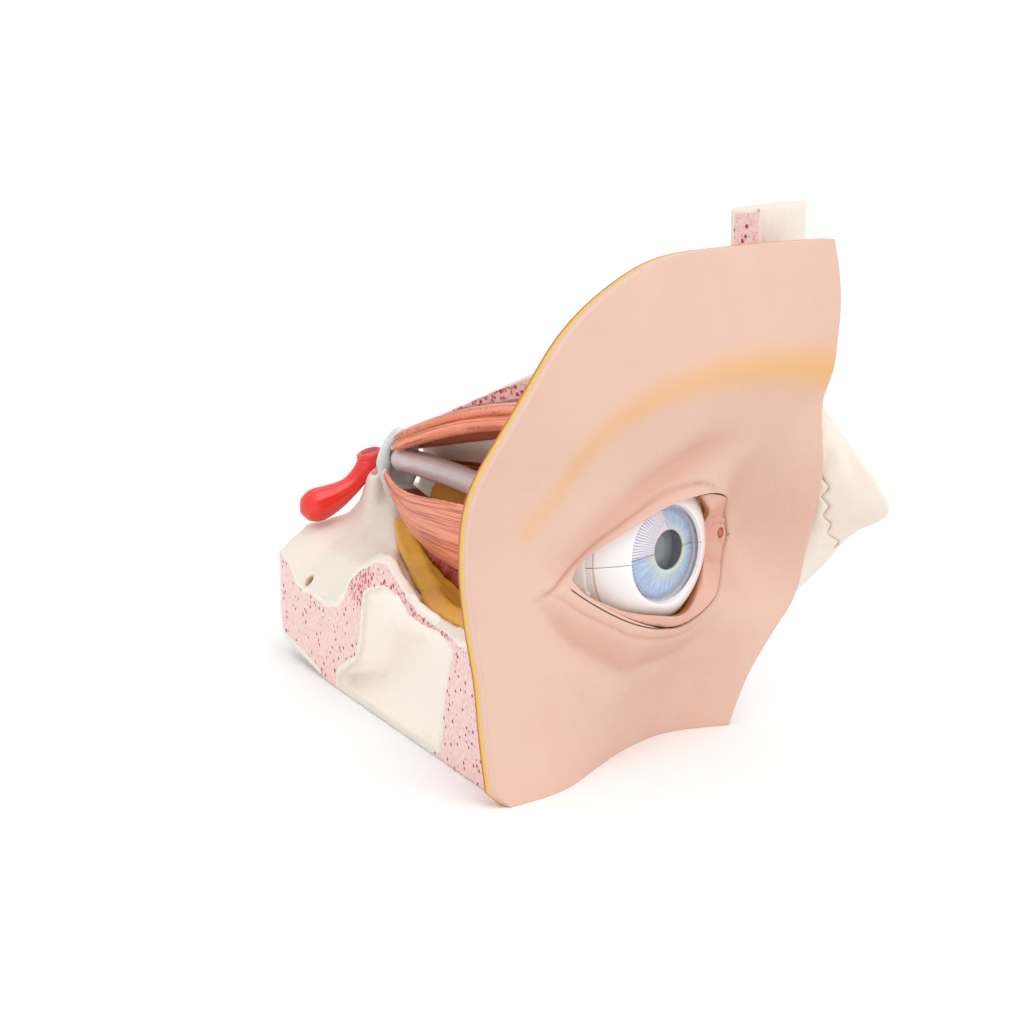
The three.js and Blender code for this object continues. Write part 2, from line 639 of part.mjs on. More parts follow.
// Straight muscle from the tendon ring over the eyeball to its insertion, turned round the gaze by an angle;
// grown by a clearance, it is the muscle's bed in its neighbours
function rectus({ turn, rootTurn, width, thickness, belly, clearance, start }, grow = 0) {
  const insertion = gaze.clone().multiplyScalar(Math.cos(degrees(start)));
  const outwardDirection = nasal.clone().multiplyScalar(Math.cos(degrees(turn)));
  outwardDirection.addScaledVector(up, Math.sin(degrees(turn)));
  insertion.addScaledVector(outwardDirection, Math.sin(degrees(start)));
  const insertionTurn = Math.atan2(insertion.dot(coneUp), insertion.dot(coneNasal));
  const rootAngle = degrees(rootTurn);
  const difference = Math.atan2(Math.sin(rootAngle - insertionTurn), Math.cos(rootAngle - insertionTurn));
  const fullRadius = SCLERA_RADIUS + clearance + thickness / 2;
  const from = Math.acos(insertion.dot(orbitAxis)) + grow / fullRadius;
  const to = Math.acos(fullRadius / ORBIT_LENGTH);
  const rootReach = (RING_HALF_WIDTH + RING_HALF_HEIGHT) / 2 + (clearance - GAP) * (1 - ROOT_THINNING);
  const touch = { along: fullRadius * Math.cos(to), reach: fullRadius * Math.sin(to) };
  const rootAlong = ORBIT_LENGTH - RING_TUBE - RING_LOBE - GAP - 1 + grow;
  const stations = [];
  const wrapSteps = 7;
  const freeSteps = 7;
  for (let i = 0; i <= wrapSteps; i++) {
    const bend = from + (to - from) * i / wrapSteps;
    const grown = TENDON_THICKNESS + (thickness - TENDON_THICKNESS) * Math.pow(i / wrapSteps, 1.5);
    const radius = SCLERA_RADIUS + clearance + grown / 2;
    stations.push({
      along: radius * Math.cos(bend),
      reach: radius * Math.sin(bend),
      thickness: grown,
      width: width * (0.92 + 0.08 * i / wrapSteps),
    });
  }
  for (let i = 1; i <= freeSteps; i++) {
    const u = i / freeSteps;
    stations.push({
      along: touch.along + (rootAlong - touch.along) * u,
      reach: touch.reach + (rootReach - touch.reach) * u + belly * Math.sin(Math.PI * u),
      thickness: thickness * (1 - ROOT_THINNING * u * u),
      width: width * (1 - 0.68 * Math.pow(u, 1.6)),
    });
  }
  const begin = stations[0].along;
  const span = rootAlong - begin;
  const rings = stations.map((station) => {
    const share = (station.along - begin) / span;
    const angle = insertionTurn + difference * share * share;
    return strapRing({
      ...station, angle, width: station.width + 2 * grow, thickness: station.thickness + 2 * grow,
    }, STRAP_SIDES);
  });
  return solidOf(loft(rings, [aroundCone(insertionTurn), aroundCone(insertionTurn + Math.PI / 2)]));
}

// Strap through points given by hand, with its flat side turned to a chosen direction
function strap({ points, facing, width, thickness }, grow = 0) {
  const path = new THREE.CatmullRomCurve3(points);
  const steps = 12;
  const rings = [];
  let capAxes = null;
  for (let i = 0; i <= steps; i++) {
    const u = i / steps;
    const tangent = path.getTangent(u);
    const centre = path.getPoint(u);
    if (i === 0) centre.addScaledVector(tangent, -grow);
    if (i === steps) centre.addScaledVector(tangent, grow);
    const normal = facing(centre);
    normal.addScaledVector(tangent, -normal.dot(tangent)).normalize();
    const side = tangent.clone().cross(normal);
    capAxes ??= [side, normal];
    const taper = 0.55 + 0.45 * Math.sin(Math.PI * Math.min(1, u * 1.25 + 0.1));
    const ring = [];
    for (let k = 0; k < 10; k++) {
      const turn = 2 * Math.PI * k / 10;
      const point = centre.clone().addScaledVector(side, Math.cos(turn) * (width / 2 * taper + grow));
      ring.push(point.addScaledVector(normal, Math.sin(turn) * (thickness / 2 + grow)));
    }
    rings.push(ring);
  }
  return solidOf(loft(rings, capAxes));
}

const awayFromEye = (p) => p.clone().sub(eyeCentre);

function ringSpoke(angle) {
  const spoke = coneNasal.clone().multiplyScalar(Math.cos(angle) * RING_HALF_WIDTH);
  return spoke.addScaledVector(coneUp, Math.sin(angle) * RING_HALF_HEIGHT);
}

function tendonRing(grow) {
  const centre = eyeCentre.clone().addScaledVector(orbitAxis, ORBIT_LENGTH);
  const rings = [];
  for (let i = 0; i < RING_STEPS; i++) {
    const angle = 2 * Math.PI * i / RING_STEPS;
    const spoke = ringSpoke(angle);
    const middle = centre.clone().add(spoke);
    const radius = RING_TUBE + RING_LOBE * Math.max(0, Math.cos(4 * angle)) + grow;
    const ring = [];
    for (let k = 0; k < 8; k++) {
      const turn = 2 * Math.PI * k / 8;
      const point = middle.clone().addScaledVector(spoke.clone().normalize(), Math.cos(turn) * radius);
      ring.push(point.addScaledVector(orbitAxis, Math.sin(turn) * radius));
    }
    rings.push(ring);
  }
  return solidOf(loft(rings));
}

function opticNerve(grow) {
  const points = [
    eyeCentre.clone().addScaledVector(orbitAxis, SCLERA_RADIUS - 3),
    inSection(90, 48, 73.4),
    inSection(118, 44.8, 75.4),
    inSection(145, 41.8, 75.8),
    inSection(164.5, 39.8, 75.2),
  ];
  const facets = 14;
  const path = new THREE.CatmullRomCurve3(points);
  const frames = path.computeFrenetFrames(9, false);
  const rings = frames.normals.map((normal, i) => {
    const ring = [];
    for (let k = 0; k < facets; k++) {
      const turn = 2 * Math.PI * k / facets;
      const spoke = normal.clone().multiplyScalar(Math.cos(turn));
      spoke.addScaledVector(frames.binormals[i], Math.sin(turn));
      ring.push(path.getPoint(i / 9).addScaledVector(spoke, NERVE_RADIUS + grow));
    }
    return ring;
  });
  return solidOf(loft(rings, [frames.normals[0], frames.binormals[0]]));
}

function eyeBall(grow) {
  const geometry = new THREE.SphereGeometry(SCLERA_RADIUS + grow, 48, 24);
  return solidOf(geometry.translate(0, 0, DRAWN_HEIGHT));
}

// Farther out than any piece reaches
const far = 400;

// Space beside the mask's lower inner edge, where the bone is cut back out of sight behind the mask
const CHEEK_EDGE = [[-2, 0], [20, 1.5], [40, 12], [WALL_BASE, 21]];
const CHEEK_SLOPE = 0.66;

function cheekCut() {
  const right = MEDIAL_X + 10;
  const rings = CHEEK_EDGE.map(([drawnZ, pastFoot]) => {
    const x = MASK_FOOT_RIGHT + pastFoot;
    const z = aboveFoot(drawnZ);
    const y = -faceDepth(x, z);
    return [
      new THREE.Vector3(x - 20, y - 20 * CHEEK_SLOPE, z),
      new THREE.Vector3(right, y + (right - x) * CHEEK_SLOPE, z),
      new THREE.Vector3(right, -far, z),
      new THREE.Vector3(x - 20, -far, z),
    ];
  });
  return solidOf(loft(rings, [new THREE.Vector3(1, 0, 0), new THREE.Vector3(0, 1, 0)]));
}

// Way up that the upper half of the eyeball takes when it is lifted out, from just under that half
function liftPath() {
  const foot = eyeCentre.clone().setZ(DRAWN_HEIGHT + GAP / 3);
  const head = eyeCentre.clone().setZ(DRAWN_HEIGHT + 2 * SCLERA_RADIUS);
  return solidOf(bar(foot, head, SCLERA_RADIUS + RUN_GAP, 48));
}

// Castings of the bone, cut by the orbit, the mask's space, the sinus and each other's joint planes
const orbit = orbitSolid(0);
const maskRoom = maskSpace();

function slab(low, high) {
  return solidOf(block(new THREE.Vector3(...low), new THREE.Vector3(...high)));
}

// Upright block between two corners given along the lateral section and inward from it
function sectionSlab([lowS, lowT], [highS, highT]) {
  const corners = [[lowS, lowT], [highS, lowT], [highS, highT], [lowS, highT]];
  const rings = [-far, far].map((z) => corners.map(([s, t]) => inSection(s, t, z)));
  return solidOf(loft(rings, [cutAlong, cutInward]));
}

// Outline given as Y and Z, drawn out along X
function prism(outline, lowX, highX) {
  const low = outline.map(([y, z]) => new THREE.Vector3(lowX, y, z));
  const high = outline.map(([y, z]) => new THREE.Vector3(highX, y, z));
  return solidOf(loft([low, high], [new THREE.Vector3(0, 1, 0), up]));
}

const FORAMEN_MOUTH = inSection(163, -4, 37);
const FORAMEN_END = inSection(163, 9, 28);

function maxilla() {
  let solid = boneBlock();
  solid = solid.subtract(slab([MEDIAL_X, -far, -far], [far, far, far]));
  solid = solid.subtract(slab([-far, -far, WALL_BASE], [far, WALL_BACK + GAP, far]));
  solid = solid.subtract(orbit).subtract(maskRoom).subtract(sinusSolid()).subtract(cheekCut());
  solid = solid.subtract(solidOf(bar(FORAMEN_MOUTH, FORAMEN_END, FORAMEN_RADIUS, 10)));
  solid = solid.add(clinoidPeg()).subtract(arterySolid(GAP));
  return solid.subtract(pinHole(PIN_LOW));
}

// Pegs of bone beside the apex: a cone with its end cut off
function clinoidPeg() {
  const stations = [
    { at: inSection(177, 33, SPHENOID_TOP - 16), radius: PEG_RADIUS * 2.4 },
    { at: inSection(177, 33.6, SPHENOID_TOP - 8), radius: PEG_RADIUS * 1.5 },
    { at: inSection(177, 34, SPHENOID_TOP - 2), radius: PEG_RADIUS * 1.15 },
    { at: inSection(176, 34.6, SPHENOID_TOP + 5), radius: PEG_RADIUS },
  ];
  return solidOf(vessel(stations));
}

// Medial wall of the orbit with the strip of roof above it
const ROOF_LINE = [
  [-60, WALL_BASE + GAP], [-60, FRONTAL_BASE], [8, FRONTAL_BASE], [30, 126], [50, 118.5], [68, 110.6],
  [94, 98.5], [113, 89.5], [121, 86], [WALL_BACK, WALL_BASE + GAP],
];

function medialWall() {
  let solid = prism(ROOF_LINE, ROOF_X, MEDIAL_X);
  return solid.subtract(orbit).subtract(maskRoom);
}

// Frontal bone: a stub that stands up behind the mask
const FRONTAL_OUTLINE = [
  [-70, FRONTAL_BASE + GAP], [-70, MASK_TOP - 10], [FRONTAL_FACE, MASK_TOP - 10], [FRONTAL_FACE, FRONTAL_TOP],
  [FRONTAL_BACK, FRONTAL_TOP - 1], [FRONTAL_BACK, 150], [-14, 140], [2, FRONTAL_BASE + GAP],
];

function frontalBone() {
  const besideMask = slab([MASK_RIGHT, -far, -far], [far, FRONTAL_FACE, far]);
  const stub = prism(FRONTAL_OUTLINE, ROOF_X, MIDLINE_X).subtract(maskRoom).subtract(besideMask);
  return stub.subtract(pinHole(PIN_HIGH));
}

// Side of the nose: sections at set heights, each from the mask's edge to the midline
const NOSE_SECTIONS = [
  { z: 41, side: 34, ridge: 31.5 },
  { z: 47, side: 37, ridge: 37.5 },
  { z: 53, side: 39, ridge: 43.5 },
  { z: 60, side: 40, ridge: 49 },
  { z: 64, side: 40.5, ridge: 52.8 },
  { z: 67, side: 41, ridge: 57 },
  { z: 70, side: 41.5, ridge: 63 },
  { z: 72.5, side: 42, ridge: 66.6 },
  { z: 75.5, side: 42.5, ridge: 68.2 },
  { z: 78.5, side: 43, ridge: 67 },
  { z: 84, side: 43.5, ridge: 62.8 },
  { z: 96, side: 43.5, ridge: 52 },
  { z: 103, side: 42.5, ridge: 45.4 },
  { z: 109, side: 42, ridge: 40.4 },
  { z: 117, side: 42, ridge: 39 },
  { z: FRONTAL_BASE, side: 43, ridge: 42 },
];

function noseSolid() {
  const left = MASK_RIGHT + MASK_GAP + GAP;
  const rings = NOSE_SECTIONS.map(({ z, side, ridge }) => [
    new THREE.Vector3(left, -side, z),
    new THREE.Vector3((left + MIDLINE_X) / 2, -(side * 0.42 + ridge * 0.58), z),
    new THREE.Vector3(MIDLINE_X - 1.5, -ridge, z),
    new THREE.Vector3(MIDLINE_X, 0.8 - ridge, z),
    new THREE.Vector3(MIDLINE_X, -16, z),
    new THREE.Vector3(left, -16, z),
  ]);
  return solidOf(loft(rings, [new THREE.Vector3(1, 0, 0), new THREE.Vector3(0, 1, 0)]));
}

// Zigzag suture between the nasal bone and the upper jaw's frontal process
function sutureSolid(clearance) {
  const foot = new THREE.Vector2(-48.3, 56);
  const head = new THREE.Vector2(-47, 85);
  const turns = 9;
  const line = [];
  for (let i = 0; i <= turns; i++) {
    const side = i % 2 ? 1.3 : -1.3;
    const middle = foot.clone().lerp(head, i / turns);
    line.push([middle.x + side - clearance, middle.y]);
  }
  const start = [foot.x - 1 - clearance, WALL_BASE / 2];
  const bend = [head.x + 11 - clearance, head.y + 15];
  const end = [head.x + 11 - clearance, FRONTAL_TOP];
  const outline = [[-far, WALL_BASE / 2], start, ...line, bend, end, [-far, FRONTAL_TOP]];
  return prism(outline, MASK_RIGHT, MIDLINE_X + 4);
}

// Pins behind the mask, at a height and a distance from the eye's centre line
const PIN_HIGH = { x: 57, z: 150 };
const PIN_LOW = { x: -22, z: aboveFoot(22) };

function pinBar(pin, grow) {
  const front = MASK_THICKNESS - faceDepth(pin.x, pin.z) - PIN_IN_MASK;
  const start = new THREE.Vector3(pin.x, front - grow, pin.z);
  const end = new THREE.Vector3(pin.x, front + PIN_LENGTH + grow, pin.z);
  return bar(start, end, PIN_RADIUS + grow);
}

function pinHole(pin) {
  return solidOf(pinBar(pin, GAP));
}

// Eye muscles; turns are round the gaze and round the orbit's axis, 0 toward the nose and 90 up
const straightMuscle = {
  width: RECTUS_WIDTH, thickness: RECTUS_THICKNESS, start: INSERTION_ANGLE, clearance: GAP, belly: 4,
};
const superiorMuscle = { ...straightMuscle, turn: 90, rootTurn: 106 };
const lateralMuscle = { ...straightMuscle, turn: 182, rootTurn: 212, belly: 6 };
const inferiorMuscle = { ...straightMuscle, turn: 270, rootTurn: 268, start: INSERTION_ANGLE + 3 };
const medialMuscle = { ...straightMuscle, turn: 0, rootTurn: -12, belly: 2, width: 24, start: 74 };
const levatorMuscle = {
  turn: 88, rootTurn: 103, width: LEVATOR_WIDTH, thickness: LEVATOR_THICKNESS,
  start: 62, clearance: GAP + RECTUS_THICKNESS + GAP, belly: 4.8,
};

// Point drawn beside an eyeball of the drawn radius, moved out or in with the real radius
function besideEye(x, y, z) {
  const point = awayFromEye(new THREE.Vector3(x, y, z));
  return point.setLength(point.length() + EYE_GROWTH).add(eyeCentre);
}

// Oblique muscles: the upper one runs to its pulley on the wall, then its tendon turns back to the eyeball
const PULLEY_RADIUS = 4.6;
const PULLEY_TUBE = 1.4;
const PULLEY = new THREE.Vector3(ROOF_X - GAP - PULLEY_RADIUS - PULLEY_TUBE, -10, 104);

const superiorOblique = {
  points: [
    ringSpoke(degrees(45)).addScaledVector(orbitAxis, ORBIT_LENGTH - RING_TUBE - GAP - 0.4).add(eyeCentre),
    inSection(136, 55, 88.5), new THREE.Vector3(43, 50, 96),
    PULLEY.clone().add(new THREE.Vector3(0.6, 9, -0.6)),
  ],
  facing: awayFromEye, width: OBLIQUE_WIDTH, thickness: OBLIQUE_THICKNESS,
};

const obliqueTendon = {
  points: [
    PULLEY.clone().add(new THREE.Vector3(-6.5, 1, -0.5)), besideEye(28, 0, 101.6), besideEye(21, 4, 100.8),
  ],
  facing: awayFromEye, width: 6, thickness: TENDON_THICKNESS,
};

function pulleySolid() {
  const ring = new THREE.TorusGeometry(PULLEY_RADIUS, PULLEY_TUBE, 8, 18);
  ring.rotateX(Math.PI / 2).translate(PULLEY.x, PULLEY.y, PULLEY.z);
  return solidOf(ring);
}

const inferiorOblique = {
  points: [
    besideEye(40, -14, 42), besideEye(24, -10, 30.5), besideEye(2, -3, 26.4), besideEye(-22, 5, 35),
    besideEye(-34, 12, 49),
  ],
  facing: awayFromEye, width: OBLIQUE_WIDTH, thickness: OBLIQUE_THICKNESS,
};

// Fat that beds the eyeball in the lower half of the orbit
const FAT_TOP = 76;
const FAT_THICKNESS = 8;
const FAT_BACK = 155;
const FAT_SLOPE = 8;         // width of its sloping edge
const FAT_EDGE = [
  { s: -40, t: 6, z: 46 }, { s: 35, t: 6, z: 44 }, { s: 64, t: 8.5, z: 42 }, { s: 84, t: 14, z: 41 },
  { s: 101, t: 20.6, z: 39 }, { s: 126, t: 25.5, z: 42.6 }, { s: 144, t: 29, z: 48.7 },
  { s: 160, t: 34, z: 55 },
];

// Space beside and over the fat's outer edge, along the open side of the orbit
function besideFat() {
  const rings = FAT_EDGE.map(({ s, t, z }) => [
    inSection(s, -far, -far), inSection(s, t, -far), inSection(s, t, z + 2),
    inSection(s, t + FAT_SLOPE, z + 5), inSection(s, t + FAT_SLOPE, far), inSection(s, -far, far),
  ]);
  return solidOf(loft(rings, [cutInward, up]));
}

function fatSolid() {
  let solid = orbitSolid(RUN_GAP).subtract(orbitSolid(FAT_THICKNESS));
  solid = solid.subtract(slab([-far, -far, FAT_TOP], [far, far, far]));
  solid = solid.subtract(besideFat()).subtract(sectionSlab([FAT_BACK, -far], [far, far]));
  for (const other of [maskRoom, eyeBall(GAP), tendonRing(GAP), opticNerve(GAP)]) {
    solid = solid.subtract(other);
  }
  for (const muscle of [lateralMuscle, inferiorMuscle, medialMuscle]) {
    solid = solid.subtract(rectus(muscle, GAP));
  }
  return solid.subtract(strap(inferiorOblique, GAP)).subtract(pinHole(PIN_LOW));
}

// Red artery beside the apex, from its rounded end up to the cut
function arterySolid(grow) {
  const stations = [
    { at: inSection(183, 6.6, 54.6), radius: 1.2 },
    { at: inSection(183, 8.4, 55), radius: ARTERY_BULB * 0.72 },
    { at: inSection(183, 13, 56.4), radius: ARTERY_BULB },
    { at: inSection(183, 19.5, 58.6), radius: ARTERY_BULB * 0.84 },
    { at: inSection(183, 26, 62), radius: ARTERY_RADIUS * 1.15 },
    { at: inSection(183, 30.5, 66.5), radius: ARTERY_RADIUS },
    { at: inSection(183, 33.9, 71), radius: ARTERY_RADIUS * 1.25 },
    { at: inSection(183, 34.8, 75.2), radius: ARTERY_MOUTH },
  ];
  return solidOf(vessel(stations.map(({ at, radius }) => ({ at, radius: radius + grow })), 12));
}

// Parts list: name, solid or geometry, colour, roughness
const model = new THREE.Group();
model.name = 'eye_anatomy_model';
model.position.z = -FOOT;
const eyeball = new THREE.Group();
eyeball.position.copy(eyeCentre);
eyeball.rotation.z = degrees(-EYE_TURN);
model.add(eyeball);

function place(group, name, shape, colour, roughness, options = {}) {
  const geometry = shape.isBufferGeometry ? shape : geometryOf(shape);
  const material = new THREE.MeshStandardMaterial({ color: colour, roughness, metalness: 0, ...options });
  const mesh = new THREE.Mesh(geometry, material);
  mesh.name = name;
  group.add(mesh);
}

const bone = 0xf1e8da;
const skin = 0xe9bda6;
const flesh = 0xd9705a;
const clear = { transparent: true, opacity: 0.35 };

place(eyeball, 'sclera_upper', upperHalf(scleraSolid()), 0xf4f2f2, 0.3);
place(eyeball, 'sclera_lower', lowerHalf(scleraSolid()), 0xf4f2f2, 0.3);
place(eyeball, 'cornea', corneaSolid(), 0xf2f8ff, 0.05, clear);
place(eyeball, 'choroid_upper', upperHalf(choroidSolid()), 0x5a2a20, 0.5);
place(eyeball, 'choroid_lower', lowerHalf(choroidSolid()), 0x5a2a20, 0.5);
place(eyeball, 'iris_upper', upperHalf(irisSolid()), 0x9fb4cf, 0.4);
place(eyeball, 'iris_lower', lowerHalf(irisSolid()), 0x9fb4cf, 0.4);
place(eyeball, 'lens', revolved(lensProfile(0)), 0xf6f7ee, 0.05, clear);
place(eyeball, 'vitreous_body', vitreousSolid(), 0xe8f0f4, 0.05, clear);
[-1, 1].forEach((side, i) => {
  const middle = side * (SCLERA_RADIUS - SCLERA_WALL / 2);
  const reach = new THREE.Vector3(0, 0, SEAM_PIN_LENGTH / 2);
  const centre = new THREE.Vector3(middle, 0, 0);
  const pin = bar(centre.clone().sub(reach), centre.clone().add(reach), SEAM_PIN_RADIUS, 10);
  place(eyeball, `seam_pin_${i + 1}`, pin, 0xd8d8d8, 0.4);
});

place(model, 'maxilla', maxilla(), bone, 0.6);
place(model, 'medial_wall', medialWall(), bone, 0.6);
place(model, 'frontal_bone', frontalBone(), bone, 0.6);
place(model, 'frontal_process', noseSolid().subtract(sutureSolid(0)), bone, 0.6);
place(model, 'nasal_bone', noseSolid().intersect(sutureSolid(GAP)), bone, 0.6);
place(model, 'tendon_ring', tendonRing(0), 0xdfe2e4, 0.35);
const nerve = opticNerve(0).subtract(eyeBall(GAP)).subtract(liftPath()).subtract(tendonRing(GAP));
place(model, 'optic_nerve', nerve, 0xbdb4b8, 0.45);
place(model, 'superior_rectus', rectus(superiorMuscle), flesh, 0.5);
place(model, 'levator', rectus(levatorMuscle), flesh, 0.5);
place(model, 'lateral_rectus', rectus(lateralMuscle).subtract(liftPath()), flesh, 0.5);
place(model, 'medial_rectus', rectus(medialMuscle).subtract(liftPath()), flesh, 0.5);
place(model, 'inferior_rectus', rectus(inferiorMuscle), flesh, 0.5);
place(model, 'superior_oblique', strap(superiorOblique), flesh, 0.5);
place(model, 'oblique_tendon', strap(obliqueTendon), 0xe6e2dc, 0.4);
place(model, 'oblique_pulley', pulleySolid(), 0xe6e2dc, 0.4);
place(model, 'inferior_oblique', strap(inferiorOblique), flesh, 0.5);
place(model, 'orbital_fat', fatSolid(), 0xd9a02c, 0.5);
place(model, 'carotid_artery', arterySolid(0), 0xd8201c, 0.3);
const mask = solidOf(maskGeometry()).subtract(pinHole(PIN_HIGH)).subtract(pinHole(PIN_LOW));
place(model, 'face_mask', mask, skin, 0.5);
place(model, 'lid_insert', solidOf(lidInsertGeometry()).subtract(caruncleSolid(GAP)), skin, 0.5);
place(model, 'caruncle', caruncleSolid(0), 0xc8403c, 0.4);
place(model, 'mask_pin_upper', pinBar(PIN_HIGH, 0), 0xb8bcc0, 0.4);
place(model, 'mask_pin_lower', pinBar(PIN_LOW, 0), 0xb8bcc0, 0.4);

export default model;
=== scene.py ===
import math

import bmesh
import bpy
import numpy as np
from mathutils import Matrix, Vector, kdtree
from mathutils.bvhtree import BVHTree


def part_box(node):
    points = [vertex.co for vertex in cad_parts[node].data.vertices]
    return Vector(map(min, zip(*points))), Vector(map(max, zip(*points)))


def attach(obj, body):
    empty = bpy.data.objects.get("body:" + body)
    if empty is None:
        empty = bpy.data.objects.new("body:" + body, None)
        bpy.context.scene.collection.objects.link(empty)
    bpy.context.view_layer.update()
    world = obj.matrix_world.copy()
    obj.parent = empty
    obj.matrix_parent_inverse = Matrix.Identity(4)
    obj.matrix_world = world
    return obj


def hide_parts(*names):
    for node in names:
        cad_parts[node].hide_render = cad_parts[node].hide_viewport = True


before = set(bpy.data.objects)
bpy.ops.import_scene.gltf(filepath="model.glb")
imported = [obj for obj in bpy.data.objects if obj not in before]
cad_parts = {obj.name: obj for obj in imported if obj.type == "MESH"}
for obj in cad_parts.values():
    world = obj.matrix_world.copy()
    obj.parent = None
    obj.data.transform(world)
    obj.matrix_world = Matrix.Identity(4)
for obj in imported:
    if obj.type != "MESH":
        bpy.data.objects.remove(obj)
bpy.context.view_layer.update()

# The room: a plain pale floor that the model stands on, a soft pale surround and one broad light from the
# upper left. The camera stands off the model's outer front corner, a little above the eye, with a long lens.
MM = 0.001


class Value:
    """What varies over a surface: a node's output, on which sums, products and steps are written."""

    def __init__(self, paint, socket):
        self.paint = paint
        self.socket = socket

    def __add__(self, other):
        return self.paint.math("ADD", self, other)

    def __sub__(self, other):
        return self.paint.math("SUBTRACT", self, other)

    def __rsub__(self, other):
        return self.paint.math("SUBTRACT", other, self)

    def __mul__(self, other):
        return self.paint.math("MULTIPLY", self, other)

    def __pow__(self, other):
        return self.paint.math("POWER", self, other)

    __radd__ = __add__

    def step(self, low, high):
        """From 0 to 1 as the value goes from low to high."""
        settings = {"interpolation_type": "SMOOTHSTEP"}
        return self.paint.node("ShaderNodeMapRange", settings, {0: self, 1: low, 2: high})

    def band(self, low, high, soft):
        """1 between low and high, and 0 outside."""
        return self.step(low - soft, low + soft) * (1 - self.step(high - soft, high + soft))


class Paint:
    """One finish: a material whose plain values sit on its shader, and the nodes that vary the rest."""

    def __init__(self, name, **plain):
        self.material = bpy.data.materials.new(name)
        self.material.use_nodes = True
        self.nodes = self.material.node_tree.nodes
        self.links = self.material.node_tree.links
        self.shader = self.nodes["Principled BSDF"]
        self.place = self.node("ShaderNodeTexCoord", {}, {}, "Object")
        for label, value in plain.items():
            self.shader.inputs[label.replace("_", " ")].default_value = value

    def node(self, kind, settings, sockets, output=0):
        made = self.nodes.new(kind)
        for label, value in settings.items():
            setattr(made, label, value)
        for socket, value in sockets.items():
            if isinstance(value, Value):
                self.links.new(value.socket, made.inputs[socket])
            else:
                made.inputs[socket].default_value = value
        return Value(self, made.outputs[output])

    def math(self, operation, *values):
        return self.node("ShaderNodeMath", {"operation": operation}, dict(enumerate(values)))

    def attribute(self, name):
        return self.node("ShaderNodeAttribute", {"attribute_name": name}, {}, "Fac")

    def axis(self, letter):
        return self.node("ShaderNodeSeparateXYZ", {}, {0: self.place}, letter)

    def point(self, x, y, z=0.0):
        return self.node("ShaderNodeCombineXYZ", {}, {0: x, 1: y, 2: z})

    def stretched(self, scale):
        return self.node("ShaderNodeMapping", {}, {"Vector": self.place, "Scale": scale})

    def distance(self, point, at=None):
        settings = {"operation": "DISTANCE"}
        return self.node("ShaderNodeVectorMath", settings, {0: at or self.place, 1: point}, "Value")

    def noise(self, size, detail=2.0, roughness=0.5, at=None):
        """Cloudy values about 0.5, in patches of the given size in metres."""
        sockets = {"Vector": at or self.place, "Scale": 1 / size, "Detail": detail, "Roughness": roughness}
        return self.node("ShaderNodeTexNoise", {}, sockets)

    def cells(self, size):
        """Distance to the nearest of scattered points, in cells of the given size in metres."""
        return self.node("ShaderNodeTexVoronoi", {}, {"Vector": self.place, "Scale": 1 / size})

    def mix(self, share, first, second):
        """From the first colour to the second. Either is six hex digits or a node's colour."""
        first, second = (tint(colour) if isinstance(colour, str) else colour for colour in (first, second))
        return self.node("ShaderNodeMix", {"data_type": "RGBA"}, {0: share, 6: first, 7: second}, 2)

    def coats(self, tone, *layers):
        """A colour with others laid over it, each by its share."""
        for share, colour in layers:
            tone = self.mix(share, tone, colour)
        return tone

    def feed(self, label, value):
        self.links.new(value.socket, self.shader.inputs[label])

    def bump(self, height, depth):
        self.feed("Normal", self.node("ShaderNodeBump", {}, {"Height": height, "Distance": depth}))

    def finish(self, tone, roughness, height, depth):
        """Ties colour, roughness and a fine relief to the shader."""
        self.feed("Base Color", tone)
        self.feed("Roughness", roughness)
        self.bump(height, depth)


def tint(code):
    """A colour from its six hex digits, as a shader takes it."""
    parts = [int(code[i:i + 2], 16) / 255 for i in (0, 2, 4)]
    linear = [((p + 0.055) / 1.055) ** 2.4 if p > 0.04045 else p / 12.92 for p in parts]
    return (*linear, 1)


def made_object(name, form):
    """An object at the origin that holds the mesh modelled in a bmesh."""
    mesh = bpy.data.meshes.new(name)
    form.to_mesh(mesh)
    form.free()
    piece = bpy.data.objects.new(name, mesh)
    bpy.context.scene.collection.objects.link(piece)
    return piece


CAMERA_PLACE = (-0.6885, -0.4777, 0.2568)
CAMERA_LOOK = (0.7848, 0.5839, -0.2079)
CAMERA_LENS = 91.4
FLOOR_SIZE = 60

ground = bmesh.new()
bmesh.ops.create_grid(ground, x_segments=4, y_segments=4, size=FLOOR_SIZE)
floor = made_object("floor", ground)
floor_paint = Paint("pale_floor", Roughness=0.8)
floor_paint.feed("Base Color", floor_paint.mix(floor_paint.noise(0.4), "f9f9f9", "fcfcfc"))
floor.data.materials.append(floor_paint.material)

world = bpy.data.worlds.new("studio")
world.use_nodes = True
world.node_tree.nodes["Background"].inputs["Color"].default_value = tint("fdfeff")
world.node_tree.nodes["Background"].inputs["Strength"].default_value = 0.95
bpy.context.scene.world = world

key_data = bpy.data.lights.new("key_light", "SUN")
key_data.energy = 1.0
key_data.angle = math.radians(55)
key = bpy.data.objects.new("key_light", key_data)
key.rotation_euler = Vector((0.18, 0.5, -0.85)).to_track_quat("-Z", "Y").to_euler()
bpy.context.scene.collection.objects.link(key)

camera_data = bpy.data.cameras.new("camera")
camera_data.lens = CAMERA_LENS
camera_data.sensor_width = 36
camera_data.clip_end = 300
camera = bpy.data.objects.new("camera", camera_data)
camera.location = CAMERA_PLACE
camera.rotation_euler = Vector(CAMERA_LOOK).to_track_quat("-Z", "Y").to_euler()
bpy.context.scene.collection.objects.link(camera)
bpy.context.scene.camera = camera
bpy.context.scene.view_settings.view_transform = "Standard"

